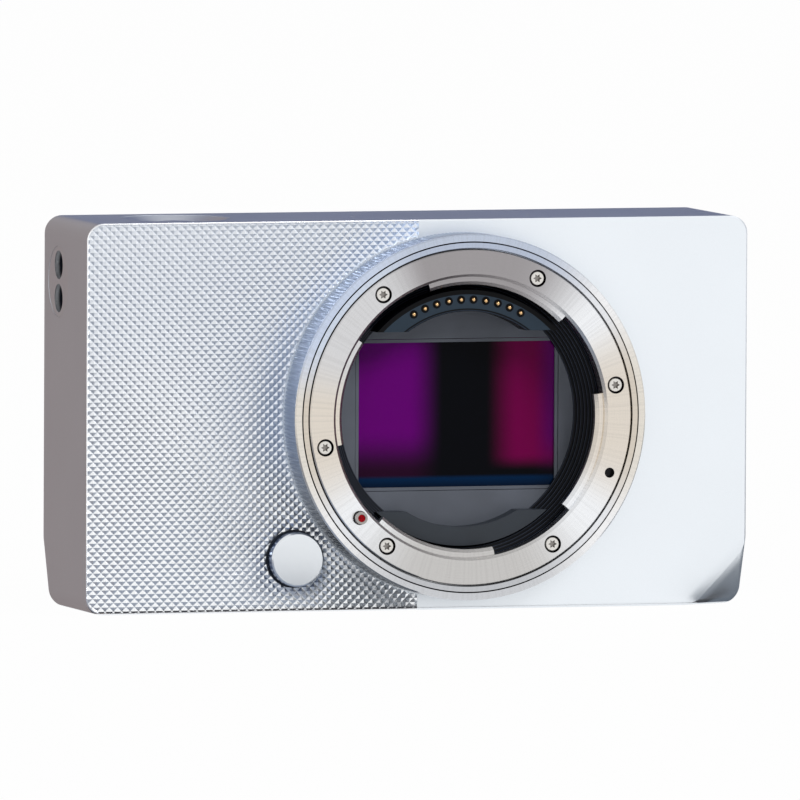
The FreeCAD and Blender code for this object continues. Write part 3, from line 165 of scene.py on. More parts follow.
def tint(red, green, blue):
    """A linear colour from the 0 to 255 values of a colour chart."""
    channels = [value / 255 for value in (red, green, blue)]
    return (*(value / 12.92 if value < 0.04 else ((value + 0.055) / 1.055) ** 2.4 for value in channels), 1.0)


def coat(finish, *names):
    """Give a finish to CAD nodes of the frame."""
    for name in names:
        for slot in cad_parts[name].material_slots:
            slot.material = finish.material


grain_scale = 16000


def blasted(name, colour, roughness):
    """Blasted and anodised aluminium: a grain of 0.05 mm with very faint clouding."""
    finish = Finish(name, colour, 1.0, roughness)
    grain = finish.noise(grain_scale, 3.0)
    cloud = finish.noise(60, 3.0)
    darker = tuple(0.95 * channel for channel in colour[:3]) + (1.0,)
    finish.vary({
        "Base Color": finish.mix((grain * 0.85 + cloud * 0.15).smooth(0.35, 0.65), darker, colour),
        "Roughness": cloud * 0.02 + (roughness - 0.01)})
    return finish.bump(grain, 0.00001, 0.35)


shell_low, shell_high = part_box("body_shell")
front = shell_low.y
facet_along = 0.0105
facet_up = 0.0112
facet_deep = 0.0042
facet_blend = 0.0016
facet_round = 0.0004
facet_turn = 0.256
facet_fade = 0.7
grain_height = 0.0000035

silver = blasted("blasted_silver_aluminium", tint(241, 246, 251), 0.42)
across, deep, up = silver.axes()
aside = ((across - (shell_high.x - facet_along)) * facet_up - up * facet_along) * (
    1 / math.hypot(facet_along, facet_up))
past_round = (aside * aside + facet_round * facet_round).maths("SQRT") - facet_round
near_edge = (facet_blend - past_round).maths("MAXIMUM", 0.0)
fall = near_edge * near_edge * (facet_turn / (2 * facet_blend)) * (
    1 - deep.smooth(front + facet_fade * facet_deep, front + facet_deep))
silver.bump(silver.noise(grain_scale, 3.0) * grain_height - fall, 1.0)
coat(silver, "body_shell")
back_silver = blasted("blasted_silver_back", tint(236, 240, 244), 0.44)
coat(back_silver, "rear_cover")


# Grip texture
# The left half of the front is cut with small pyramids in rows at 45 degrees, between the body's edges and the
# collar. Their tips are flush with the smooth half, and their cut flats are brighter than the blasted metal.

def placed(name, mesh, material=None):
    """Put a mesh into the scene as an object at the origin."""
    data = bpy.data.meshes.new(name)
    mesh.to_mesh(data)
    mesh.free()
    if material:
        data.materials.append(material)
    thing = bpy.data.objects.new(name, data)
    bpy.context.scene.collection.objects.link(thing)
    return thing


def finished(name, mesh, finish, body="root", soft=0.6):
    """Make a closed mesh a piece that rides on a body, shaded smooth over edges that turn less than soft."""
    bmesh.ops.recalc_face_normals(mesh, faces=mesh.faces)
    for face in mesh.faces:
        face.smooth = True
    for edge in mesh.edges:
        edge.smooth = edge.calc_face_angle(math.pi) < soft
    piece = placed(name, mesh, finish.material)
    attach(piece, body)
    return piece


def carve(piece, mesh, operation):
    """Join a tool to a piece by a boolean, and keep the outcome as the piece's mesh."""
    tool = placed("tool", mesh)
    carving = piece.modifiers.new("carving", "BOOLEAN")
    carving.operation = operation
    carving.solver = "EXACT"
    carving.object = tool
    bpy.context.view_layer.update()
    carved = bpy.data.meshes.new_from_object(piece.evaluated_get(bpy.context.evaluated_depsgraph_get()))
    piece.modifiers.clear()
    piece.data = carved
    bpy.data.objects.remove(tool)


def front_slab(inset, right, near, far):
    """A slab with the front's rounded outline, drawn in from the body's edges."""
    mesh = bmesh.new()
    bmesh.ops.create_cube(mesh, size=1)
    low = Vector((texture_left + inset, near, shell_low.z + inset))
    high = Vector((right, far, shell_high.z - inset))
    bmesh.ops.scale(mesh, verts=mesh.verts, vec=high - low)
    bmesh.ops.translate(mesh, verts=mesh.verts, vec=(low + high) / 2)
    corners = [edge for edge in mesh.edges if all(vertex.co.x < low.x + touch for vertex in edge.verts)
               and abs(edge.verts[0].co.z - edge.verts[1].co.z) < touch]
    bmesh.ops.bevel(mesh, geom=corners, offset=corner_radius - inset, segments=8, profile=0.5, affect="EDGES",
                    material=-1)
    return mesh


collar_low, collar_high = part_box("mount_collar")
mount = Vector(((collar_low.x + collar_high.x) / 2, 0, (collar_low.z + collar_high.z) / 2))

pitch_across = 0.001617
pitch_up = 0.001588
pyramid_height = 0.00033
texture_left = shell_low.x
texture_right = 0.0
texture_floor = front + 0.00037
rows = 90
collar_cut = 0.03433
cutter_length = 0.01
corner_radius = 0.0033
rim_width = 0.00028
rim_bevel = 0.00016
beyond = 0.001
touch = 1e-6

grip = bmesh.new()
bmesh.ops.create_grid(grip, x_segments=rows, y_segments=rows, size=rows / 2 / math.sqrt(2))
bmesh.ops.rotate(grip, verts=grip.verts, matrix=Matrix.Rotation(math.pi / 4, 3, "Z"))
bmesh.ops.scale(grip, verts=grip.verts, vec=(pitch_across, pitch_up, 1))
bmesh.ops.rotate(grip, verts=grip.verts, matrix=Matrix.Rotation(math.pi / 2, 3, "X"))
bmesh.ops.translate(grip, verts=grip.verts, vec=(
    (texture_left + texture_right) / 2, front + pyramid_height, (shell_low.z + shell_high.z) / 2))
bmesh.ops.poke(grip, faces=grip.faces, offset=pyramid_height)
for spot, outward in (((texture_left, 0, 0), (-1, 0, 0)), ((texture_right, 0, 0), (1, 0, 0)),
                      (shell_low, (0, 0, -1)), (shell_high, (0, 0, 1))):
    everything = list(grip.verts) + list(grip.edges) + list(grip.faces)
    bmesh.ops.bisect_plane(grip, geom=everything, plane_co=spot, plane_no=outward, clear_outer=True)
rim_edges = [edge for edge in grip.edges if edge.is_boundary]
for vertex in bmesh.ops.extrude_edge_only(grip, edges=rim_edges)["geom"]:
    if isinstance(vertex, bmesh.types.BMVert):
        vertex.co.y = texture_floor
bmesh.ops.holes_fill(grip, edges=[edge for edge in grip.edges if edge.is_boundary])

# Painted shade: beside the collar, from its middle up, the cut flats are painted bluer and darker. Elsewhere they are
# painted greyer towards the top.
shade_reach = (0.0345, 0.041)
shade_foot = (-0.018, -0.002)
tone_span = (-0.02, 0.03)
machined = blasted("machined_silver_texture", tint(250, 252, 254), 0.28)
above_mount = machined.axes(mount)[2]
painted_collar_shade = (1 - machined.reach(mount).smooth(*shade_reach)) * above_mount.smooth(*shade_foot)
machined_tone = machined.mix(above_mount.smooth(*tone_span), tint(250, 252, 254), tint(232, 236, 242))
machined.vary({"Base Color": machined.mix(painted_collar_shade, machined_tone, tint(234, 240, 250))})
grip_texture = finished("grip_texture", grip, machined, soft=0.1)

collar_hole = bmesh.new()
bmesh.ops.create_cone(collar_hole, cap_ends=True, segments=240, radius1=collar_cut, radius2=collar_cut,
                      depth=cutter_length)
bmesh.ops.rotate(collar_hole, verts=collar_hole.verts, matrix=Matrix.Rotation(math.pi / 2, 3, "X"))
bmesh.ops.translate(collar_hole, verts=collar_hole.verts, vec=(mount.x, front, mount.z))
carve(grip_texture, collar_hole, "DIFFERENCE")
carve(grip_texture, front_slab(rim_width, texture_right + beyond, front - beyond, front + beyond), "INTERSECT")

rim_mesh = front_slab(0, texture_right, front, texture_floor)
rim_corner = [edge for edge in rim_mesh.edges if all(vertex.co.y < front + touch for vertex in edge.verts)
              and not all(vertex.co.x > texture_right - touch for vertex in edge.verts)]
bmesh.ops.bevel(rim_mesh, geom=rim_corner, offset=rim_bevel, segments=3, profile=0.5, affect="EDGES", material=-1)
rim_silver = blasted("cut_rim_silver", tint(248, 250, 253), 0.24)
rim = finished("grip_rim", rim_mesh, rim_silver, soft=0.8)
carve(rim, front_slab(rim_width, texture_right + beyond, front - beyond, front + beyond), "DIFFERENCE")


# Mount collar
# A turned aluminium ring that stands out of the front. Its wall is cut with fine straight flutes, and its lip is
# faced bright, with a shallow groove before the trim ring.

def spun(mesh, profile, centre, axis="Y", steps=180):
    """Spin a closed outline of radius and length about an axis through a centre."""
    ring = []
    for radius, length in profile:
        spots = {"X": (length, centre.y + radius, centre.z), "Y": (centre.x + radius, length, centre.z),
                 "Z": (centre.x + radius, centre.y, length)}
        ring.append(mesh.verts.new(spots[axis]))
    edges = [mesh.edges.new((ring[index - 1], ring[index])) for index in range(len(ring))]
    turn = {"X": (1, 0, 0), "Y": (0, 1, 0), "Z": (0, 0, 1)}[axis]
    bmesh.ops.spin(mesh, geom=ring + edges, cent=centre, axis=turn, angle=math.tau, steps=steps, use_merge=True)


def lathe(name, profile, centre, finish, body="root", axis="Y", steps=180, soft=0.5):
    """Make one turned piece."""
    mesh = bmesh.new()
    spun(mesh, profile, centre, axis, steps)
    bmesh.ops.remove_doubles(mesh, verts=mesh.verts, dist=1e-7)
    return finished(name, mesh, finish, body, soft)


def turned_metal(name, tones, roughness, ring_depth, groove, sunk=None):
    """Metal faced on a lathe about the mount, with fine rings. Its tones round the ring are painted reflections, and
    noise streaks that run out from the axis are painted sheen.

    Tones: between, right and left, top, bottom, upper left. The groove is a span of radius painted dark as painted
    shade, and sunk is the radius span and depth where holes go down into painted shade.
    """
    clean, sides, top, below, upper_left = tones
    finish = Finish(name, clean, 1.0, roughness)
    across, deep, up = finish.axes(mount)
    radius = finish.reach(mount)
    rings = finish.rings(radius, 9000.0, 3.0)
    share = up.maths("DIVIDE", radius)
    wide = across.maths("DIVIDE", radius)
    spokes = finish.node("ShaderNodeTexNoise", {"noise_dimensions": "2D"}, {
        "Vector": finish.node("ShaderNodeCombineXYZ", (), {0: wide, 1: share}), "Scale": 60.0, "Detail": 3.0})
    colour = finish.mix(wide.maths("ABSOLUTE").smooth(0.8, 0.99), clean, sides)
    colour = finish.mix(share.smooth(0.62, 0.96), colour, top)
    colour = finish.mix((0 - share).smooth(0.66, 0.97), colour, below)
    colour = finish.mix((share * 0.62 - wide * 0.78).smooth(0.82, 0.99), colour, upper_left)
    for marks, strength in ((spokes.smooth(0.42, 0.7), 0.09), (rings.smooth(0.35, 0.65), 0.1)):
        colour = finish.mix(marks * strength, colour, tint(150, 148, 146))
    # Painted shade: the groove, and the sunk holes where given, are painted near black.
    dark = (radius > groove[0]) * (radius < groove[1]) * (1 - wide.smooth(0.0, 0.9) * 0.75)
    if sunk:
        inner, outer, start = sunk
        dark = dark.maths("MAXIMUM", (radius > inner) * (radius < outer) * (deep > start))
    finish.vary({"Base Color": finish.mix(dark, colour, tint(34, 34, 36)),
                 "Roughness": rings * 0.08 + (roughness - 0.04)})
    return finish.bump(rings, ring_depth, 0.6)


flange_low, flange_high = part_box("mount_flange")
seat = flange_high.y
collar_radius = (collar_high.x - collar_low.x) / 2
collar_bore = 0.02695
lip_width = 0.00135
lip_edge = 0.00025
lip_band = 0.0004
lip_root = 0.0006
flute_end = collar_low.y + lip_band
flute_count = 288
flute_depth = 0.00016
flute_wall = 0.0005
flute_shade = (-0.024, 0.0)
lip_groove = (0.03250, 0.03278)

# The lip's tones round the ring are painted reflections, and its groove is painted dark as painted shade.
bright_lip = turned_metal("bright_faced_lip", (
    tint(252, 252, 253), tint(234, 228, 218), tint(196, 206, 224), tint(208, 210, 214), tint(206, 218, 240)),
    0.26, 0.000004, lip_groove)
lip = lathe("collar_lip", [
    (collar_bore, front), (collar_radius - lip_root, front), (collar_radius - lip_root, flute_end),
    (collar_radius, flute_end), (collar_radius, collar_low.y + lip_edge),
    (collar_radius - lip_edge, collar_low.y), (collar_radius - lip_width, collar_low.y),
    (collar_radius - lip_width, seat), (collar_bore, seat)], mount, bright_lip, steps=240)

flutes = bmesh.new()
outline = bmesh.ops.create_circle(flutes, segments=4 * flute_count, radius=collar_radius)["verts"]
for index, vertex in enumerate(outline):
    if index % 4 in (0, 1):
        vertex.co *= 1 - flute_depth / collar_radius
bmesh.ops.rotate(flutes, verts=flutes.verts, matrix=Matrix.Rotation(math.pi / 2, 3, "X"))
bmesh.ops.translate(flutes, verts=flutes.verts, vec=(mount.x, front, mount.z))
wall = bmesh.ops.extrude_edge_only(flutes, edges=flutes.edges)["geom"]
wall_end = [item for item in wall if isinstance(item, bmesh.types.BMVert)]
bmesh.ops.translate(flutes, verts=wall_end, vec=(0, flute_end - front, 0))
for ring_y in (front, flute_end):
    ring_edges = [edge for edge in flutes.edges if edge.is_boundary
                  and all(abs(vertex.co.y - ring_y) < touch for vertex in edge.verts)]
    for vertex in bmesh.ops.extrude_edge_only(flutes, edges=ring_edges)["geom"]:
        if isinstance(vertex, bmesh.types.BMVert):
            spoke = Vector((vertex.co.x - mount.x, 0, vertex.co.z - mount.z)).normalized()
            spoke *= collar_radius - flute_wall
            vertex.co = Vector((mount.x + spoke.x, ring_y, mount.z + spoke.z))
bmesh.ops.bridge_loops(flutes, edges=[edge for edge in flutes.edges if edge.is_boundary])
# Painted shade: the flutes are painted darker and greyer below the mount's middle than above it.
fluted = blasted("fluted_collar_aluminium", tint(158, 170, 190), 0.34)
fluted.vary({"Base Color": fluted.mix(fluted.axes(mount)[2].smooth(*flute_shade),
                                      tint(132, 135, 140), tint(158, 170, 190))})
collar_flutes = finished("collar_flutes", flutes, fluted, soft=0.3)
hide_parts("mount_collar")
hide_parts("mount_collar")


# Trim ring and bayonet flange
# The trim ring is polished. The flange is stainless steel with four tabs behind its throat, turned on a lathe, so
# it carries fine rings about the mount's axis.

trim_groove = (0.03148, 0.03158)
# The trim ring's tones round the ring are painted reflections, and its groove is painted dark as painted shade.
polished_trim = turned_metal("polished_trim", (
    tint(240, 242, 246), tint(220, 210, 196), tint(186, 196, 216), tint(196, 198, 202), tint(212, 222, 238)),
    0.22, 0.000004, trim_groove)
coat(polished_trim, "mount_trim_ring")

flange_groove = (0.03128, 0.0315)
screw_holes = (0.02705, 0.03045, flange_low.y + 0.0001)
# The flange's tones round the ring are painted reflections, and its groove and screw holes are painted dark as
# painted shade.
steel = turned_metal("turned_stainless_steel", (
    tint(250, 252, 255), tint(230, 221, 209), tint(162, 158, 160), tint(204, 202, 200), tint(220, 220, 222)),
    0.24, 0.00001, flange_groove, screw_holes)
coat(steel, "mount_flange")


# Flange screws, lock pin and index
# Six steel screws with star recesses hold the flange. The lock pin is steel with a recessed tip that carries a
# dab of red paint, the index that a lens is lined up with.

def bare_metal(name, colour, roughness, scale, depth, strength=0.3, detail=2.0):
    """Bare metal whose surface is faintly uneven."""
    finish = Finish(name, colour, 1.0, roughness)
    return finish.bump(finish.noise(scale, detail), depth, strength)


screw_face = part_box("mount_screws")[0].y
recess_top, recess_floor = screw_face + 0.00003, screw_face + 0.0005
screw_steel = bare_metal("screw_steel", tint(232, 230, 226), 0.27, 9000, 0.000006, detail=3.0)
# Painted shade: the star recesses are painted darker with depth.
recess = screw_steel.axes()[1].smooth(recess_top, recess_floor)
screw_steel.vary({"Base Color": screw_steel.mix(recess, tint(226, 223, 218), tint(142, 138, 134))})
coat(screw_steel, "mount_screws")
coat(bare_metal("lock_pin_steel", tint(170, 166, 162), 0.3, 9000, 0.000006, detail=3.0), "lens_lock_pin")

pin_low, pin_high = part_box("lens_lock_pin")
pin_centre = Vector(((pin_low.x + pin_high.x) / 2, 0, (pin_low.z + pin_high.z) / 2))
paint_radius = 0.00080
paint_round = 0.0001
paint_dip = 0.0003
paint_top = pin_low.y + 0.00012
paint_edge = paint_top + 0.00004
paint_middle = paint_top + 0.00005
paint_back = pin_low.y + 0.00026
red_paint = Finish("red_index_paint", tint(150, 24, 30), 0.0, 0.45, {"Specular IOR Level": 0.15})
red_paint.vary({"Base Color": red_paint.mix(red_paint.noise(3000).smooth(0.4, 0.6),
                                            tint(150, 4, 18), tint(214, 10, 28))})
red_paint.bump(red_paint.noise(2500), 0.00002, 0.4)
lathe("pin_paint", [(0, paint_back), (paint_radius, paint_back), (paint_radius, paint_edge),
                    (paint_radius - paint_round, paint_top), (paint_dip, paint_edge), (0, paint_middle)],
      pin_centre, red_paint, body="lens_release", steps=32)


# Light chamber and baffles
# The walls behind the flange are black anodised and ribbed to trap stray light. A grey plate closes the chamber
# round the sensor window, with a dark crescent shelf below it.

def moulded(name, colour, roughness):
    """Moulded or painted matt surface with a fine even grain."""
    finish = Finish(name, colour, 0.0, roughness)
    grain = finish.noise(7000, 3.0)
    darker = tuple(0.8 * channel for channel in colour[:3]) + (1.0,)
    finish.vary({"Base Color": finish.mix(finish.noise(90).smooth(0.3, 0.7), darker, colour),
                 "Roughness": grain * 0.1 + (roughness - 0.05)})
    return finish.bump(grain, 0.00001, 0.5)


chamber_low, chamber_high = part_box("light_chamber")
chamber_outer = (chamber_high.x - chamber_low.x) / 2
mouth_radius = 0.0262
end_radius = 0.0227
rib_count = 7
rib_step = (mouth_radius - end_radius) / rib_count
mouth = chamber_low.y + 0.0012
trap_end = -0.0090
rib_pitch = (trap_end - mouth) / rib_count
rib_flat = 0.3

trap_black = Finish("light_trap_black", tint(12, 14, 20), 0.0, 0.4, {"Specular IOR Level": 0.1})
rib_part = ((trap_black.reach(mount) - end_radius) * (1 / rib_step) + 0.5).maths("FRACT")
# Painted highlight: a thin band on each rib is painted grey, where its edge catches the light.
painted_rib_highlight = rib_part.band(0.56, 0.64, 0.74, 0.84)
trap_black.vary({"Base Color": trap_black.mix(painted_rib_highlight, tint(10, 12, 18), tint(66, 74, 90))})
trap_black.bump(trap_black.noise(7000), 0.000008, 0.4)
ribs = [(chamber_outer, chamber_high.y), (chamber_outer, mouth), (mouth_radius, mouth)]
for rib in range(1, rib_count + 1):
    ribs += [(mouth_radius - (rib - 1) * rib_step, mouth + (rib - rib_flat) * rib_pitch),
             (mouth_radius - rib * rib_step, mouth + rib * rib_pitch)]
ribs.append((end_radius, chamber_high.y))
ribbed = lathe("light_trap", ribs, mount, trap_black, steps=200)
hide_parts("light_chamber")

coat(moulded("baffle_grey_paint", tint(112, 118, 130), 0.5), "baffle_plate", "window_frame")
crescent_black = moulded("crescent_black", tint(46, 54, 64), 0.45)
coat(crescent_black, "lower_baffle")


# Contact block and pins
# A moulded block screwed above the sensor window, with a ledge below its raised face. Ten gold plated pins stand in
# wells in it and give way to the contacts of a lens. Black rings round them are painted shade in the wells.

block_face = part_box("contact_block")[0].y
raised_span = (0.02010, 0.02018, 0.02272, 0.0228)
ledge_span = (0.01966, 0.01970, 0.01984, 0.0199)
# Painted shade: the block is painted near black outside its raised face, round its step and ledge, and a narrow band
# at the ledge is painted grey again.
block_grey = moulded("contact_housing_grey", tint(62, 76, 92), 0.38)
block_radius = block_grey.reach(mount)
block_tone = block_grey.mix(block_radius.band(*raised_span), tint(3, 4, 7), tint(62, 76, 90))
block_grey.vary({"Base Color": block_grey.mix(block_radius.band(*ledge_span), block_tone, tint(54, 64, 78)),
                 "Specular IOR Level": 0.12})
coat(block_grey, "contact_block")

gold = bare_metal("gold_plate", tint(222, 182, 132), 0.22, 6000, 0.000005)
gold.vary({"Roughness": gold.noise(3000) * 0.2 + 0.12})
# Painted shade: the black rings round the pins stand for the dark wells they sit in.
well_shade_black = moulded("contact_well_black", tint(8, 10, 15), 0.5).vary({"Specular IOR Level": 0.1})

pins_low, pins_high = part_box("contact_pins")
contact_circle = 0.0218
contact_pitch = math.radians(6.33)
pin_count = 10
pin_radius = 0.00042
dome_curve = [(0, 0), (0.00015, 0.00002), (0.00029, 0.0001), (0.00038, 0.00024), (pin_radius, pin_radius)]
dome = [(radius, pins_low.y + depth) for radius, depth in dome_curve]
well_inner, well_outer = 0.00048, 0.00078
well_near, well_far = block_face - 0.00004, block_face + 0.0001
wells, domes = bmesh.new(), bmesh.new()
for pin in range(pin_count):
    angle = math.pi / 2 + (pin - (pin_count - 1) / 2) * contact_pitch
    spot = Vector((mount.x + contact_circle * math.cos(angle), 0, mount.z + contact_circle * math.sin(angle)))
    spun(wells, [(well_inner, well_near), (well_outer, well_near), (well_outer, well_far), (well_inner, well_far)],
         spot, steps=24)
    spun(domes, dome + [(pin_radius, pins_high.y), (0, pins_high.y)], spot, steps=24)
for mesh in (wells, domes):
    bmesh.ops.remove_doubles(mesh, verts=mesh.verts, dist=1e-7)
finished("contact_wells", wells, well_shade_black)
pin_domes = finished("contact_domes", domes, gold, body="contact_pins", soft=0.8)
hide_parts("contact_pins")


# Sensor
# The filter in front of the sensor is glass with a thin coating. Violet at its left, nearly black at its middle and
# magenta at its right are painted reflections of the coating, over a navy line along its lower edge. A black holder
# carries both.

glass_low, glass_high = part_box("sensor_filter")
coated = Finish("coated_glass", tint(8, 4, 24), 0.0, 0.06, {"IOR": 1.5, "Specular IOR Level": 0.04})
along, _, rise = coated.axes()
part_way = (along - glass_low.x) * (1 / (glass_high.x - glass_low.x))
height_part = (rise - glass_low.z) * (1 / (glass_high.z - glass_low.z))
# Painted reflections: the coating's colours are painted by place on the glass.
wine = coated.mix(height_part.smooth(0.14, 0.42), tint(50, 10, 46), tint(126, 0, 142))
painted_reflection = coated.mix(1 - part_way.smooth(0.27, 0.44), tint(9, 11, 18), wine)
painted_reflection = coated.mix(part_way.smooth(0.64, 0.80) * height_part.smooth(0.14, 0.25), painted_reflection, tint(140, 0, 88))
painted_reflection = coated.mix(part_way.smooth(0.86, 0.97) * height_part.smooth(0.1, 0.4), painted_reflection, tint(116, 0, 120))
navy = coated.mix(height_part.smooth(0.03, 0.11), tint(0, 22, 50), tint(0, 46, 88))
painted_reflection = coated.mix(1 - height_part.smooth(0.095, 0.125), painted_reflection, navy)
coated.vary({"Base Color": painted_reflection, "Roughness": coated.noise(200) * 0.02 + 0.05})
coat(coated, "sensor_filter")
coat(crescent_black, "sensor_holder", "sensor_package")
silicon = Finish("sensor_silicon", tint(60, 40, 80), 0.4, 0.2)
silicon.bump(silicon.noise(20000), 0.000002, 0.2)
coat(silicon, "image_sensor")


# Lens release button
# A turned aluminium button that stands out of the front beside the mount. Its side wall is painted dark blue as a
# painted reflection, and a black ring in the gap round it in the shell is painted shade.

release_low, release_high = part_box("lens_release_button")
release_axis = Vector(((release_low.x + release_high.x) / 2, 0, (release_low.z + release_high.z) / 2))
release_edge = (0.00500, 0.00509)
release_silver = blasted("release_aluminium", tint(246, 250, 254), 0.24)
# Painted reflection: the button's side wall is painted dark blue.
release_wall = release_silver.reach(release_axis).smooth(*release_edge)
release_silver.vary({"Base Color": release_silver.mix(release_wall, tint(244, 248, 252), tint(92, 108, 138))})
coat(release_silver, "lens_release_button")

# Painted shade: a black ring stands in the gap round the button, where the gap falls dark.
gap_shade_inner = (release_high.x - release_low.x) / 2 + 0.00002
gap_shade_outer = gap_shade_inner + 0.0003
gap_shade_near, gap_shade_far = front - 0.00001, front + 0.0006
gap_shade_black = moulded("release_seal_black", tint(26, 34, 48), 0.5)
lathe("release_gap_shade", [(gap_shade_inner, gap_shade_near), (gap_shade_outer, gap_shade_near), (gap_shade_outer, gap_shade_far),
                       (gap_shade_inner, gap_shade_far)], release_axis, gap_shade_black, steps=64)


# Buttons and battery latch
# Small turned buttons with an even blasted face, each sprung in a hole of its own. The latch in the base is
# finished like them.

button_silver = blasted("button_aluminium", tint(242, 247, 252), 0.34)
coat(button_silver, "shutter_button", "play_button", "option_button", "power_button", "dial_centre_button",
     "battery_latch")


# Strap boss
# A turned plug pressed into the left side, with two holes for a strap, and its rim ends in a low bead. Inside the
# holes the walls are painted pale and matt near the mouth as a painted highlight, and dark deeper down as painted
# shade.

boss_low, boss_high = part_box("strap_boss")
hole_mouth = (0.00012, 0.00022)
hole_floor = (0.0005, 0.0011)
boss_silver = blasted("strap_boss_aluminium", tint(242, 246, 250), 0.36)
boss_depth = boss_silver.axes(boss_low)[0]
# Painted highlight and shade: pale and matt near the mouth of each hole, dark towards its floor.
inside_hole = boss_depth.smooth(*hole_mouth)
hole_tone = boss_silver.mix(boss_depth.smooth(*hole_floor), tint(246, 250, 255), tint(44, 48, 62))
boss_silver.vary({"Base Color": boss_silver.mix(inside_hole, tint(242, 246, 250), hole_tone),
                  "Metallic": 1 - inside_hole})
coat(boss_silver, "strap_boss")

boss_axis = Vector((0, (boss_low.y + boss_high.y) / 2, (boss_low.z + boss_high.z) / 2))
bead_outer = (boss_high.y - boss_low.y) / 2
bead_width = 0.00036
bead_depth = 0.0002
bead_face, bead_crest = boss_low.x + 0.00001, shell_low.x + 0.00001
lathe("strap_bead", [(bead_outer - bead_width, bead_face), (bead_outer - bead_width / 2, bead_crest),
                     (bead_outer, bead_face), (bead_outer, bead_face + bead_depth),
                     (bead_outer - bead_width, bead_face + bead_depth)],
      boss_axis, button_silver, axis="X", steps=96, soft=0.1)


# Shutter dish
# A shallow dish turned in the top leads the finger to the shutter button. Its slope has fine rings, and its floor
# is painted paler and mostly matt as a painted highlight.

dish_low, dish_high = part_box("shutter_dish")
dish_axis = Vector(((dish_low.x + dish_high.x) / 2, (dish_low.y + dish_high.y) / 2, 0))
dish_floor = (-0.0011, -0.00085)
dish_silver = Finish("turned_dish_aluminium", tint(232, 236, 242), 1.0, 0.42)
dish_silver.bump(dish_silver.rings(dish_silver.reach(dish_axis, (1, 1, 0)), 14000.0), 0.000004, 0.4)
# Painted highlight: the dish's floor is paler and mostly matt.
deep_part = 1 - dish_silver.axes((0, 0, dish_high.z))[2].smooth(*dish_floor)
dish_silver.vary({"Base Color": dish_silver.mix(deep_part, tint(232, 236, 242), tint(240, 246, 254)),
                  "Metallic": 1 - deep_part * 0.8})
coat(dish_silver, "shutter_dish")


# Control dial
# A turned dial let into the back, with a fine knurl round its edge and rings on its face. It turns on a shaft and
# an encoder behind the cover.

dial_low, dial_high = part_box("control_dial")
dial_axis = Vector(((dial_low.x + dial_high.x) / 2, 0, (dial_low.z + dial_high.z) / 2))
dial_silver = Finish("turned_dial_aluminium", tint(216, 220, 226), 1.0, 0.3)
dial_silver.bump(dial_silver.rings(dial_silver.reach(dial_axis), 12000.0), 0.000004, 0.5)
coat(dial_silver, "control_dial")


# Displays
# Two flat panels under cover glass bonded into the back, the large one for pictures and the small one for
# settings.

cover_glass = Finish("display_cover_glass", tint(6, 7, 9), 0.0, 0.05, {"IOR": 1.5, "Coat Weight": 0.5})
cover_glass.vary({"Roughness": cover_glass.noise(120, 4.0) * 0.05 + 0.03})
coat(cover_glass, "display_glass", "status_glass")
coat(moulded("display_panel_black", tint(14, 15, 18), 0.3), "display_panel", "status_panel")


# Socket, speaker and microphones
# The socket is a plated steel shell round a black tongue, let into the right side. The speaker and the microphones
# are plastic capsules behind drilled holes.

tin_plate = bare_metal("tin_plate", tint(206, 208, 210), 0.3, 5000, 0.000005)
tin_plate.vary({"Roughness": tin_plate.noise(2000) * 0.15 + 0.22})
black_plastic = moulded("black_plastic", tint(24, 24, 26), 0.45)
coat(tin_plate, "usb_shell")
coat(black_plastic, "usb_tongue", "speaker", "microphones")


# Battery and its bay
# A plastic case with gold plated terminals slides up into a plastic bay with sprung contacts. Its aluminium end cap
# closes the base over a rubber seal.

coat(black_plastic, "battery_bay", "battery_case")
coat(tin_plate, "battery_contacts")
coat(gold, "battery_terminals")
coat(blasted("battery_cap_aluminium", tint(216, 220, 226), 0.42), "battery_cap")
coat(moulded("seal_rubber", tint(30, 30, 32), 0.8), "battery_seal")


# Tripod bush
# A turned steel bush pressed into the base, with the inch thread that all tripods share. The screw of a tripod goes
# into it.

coat(bare_metal("tripod_bush_steel", tint(200, 200, 196), 0.3, 6000, 0.000006, 0.4), "tripod_bush")


# Chassis and boards
# The chassis and heat plate are bare aluminium, held by steel screws. The boards are green under their chips, their
# switches and a plated steel can.

coat(bare_metal("plain_aluminium", tint(190, 192, 196), 0.4, 3000, 0.000008, 0.4), "chassis_plate", "heat_plate")
coat(bare_metal("fastener_steel", tint(214, 212, 208), 0.3, 9000, 0.000006, detail=3.0),
     "chassis_screws", "cover_screws")
coat(moulded("circuit_board_green", tint(20, 70, 44), 0.4), "main_board", "sensor_board", "button_board")
coat(moulded("chip_black", tint(22, 22, 24), 0.5), "image_processor", "memory_chips")
coat(black_plastic, "contact_board", "button_switches", "dial_encoder", "shutter_switch")
coat(tin_plate, "shield_can")


# Bayonet spring and release yoke
# A ring of spring steel behind the flange draws a lens against it. The yoke, bent from the same steel, joins the
# release button to the lock pin.

spring_steel = bare_metal("spring_steel", tint(188, 186, 182), 0.3, 6000, 0.000005)
coat(spring_steel, "bayonet_spring", "release_yoke")


# Return springs
# Each is a stack of four cones of spring steel set edge to edge on its post. In the camera they flatten as the
# button over them goes in; here they keep one shape.

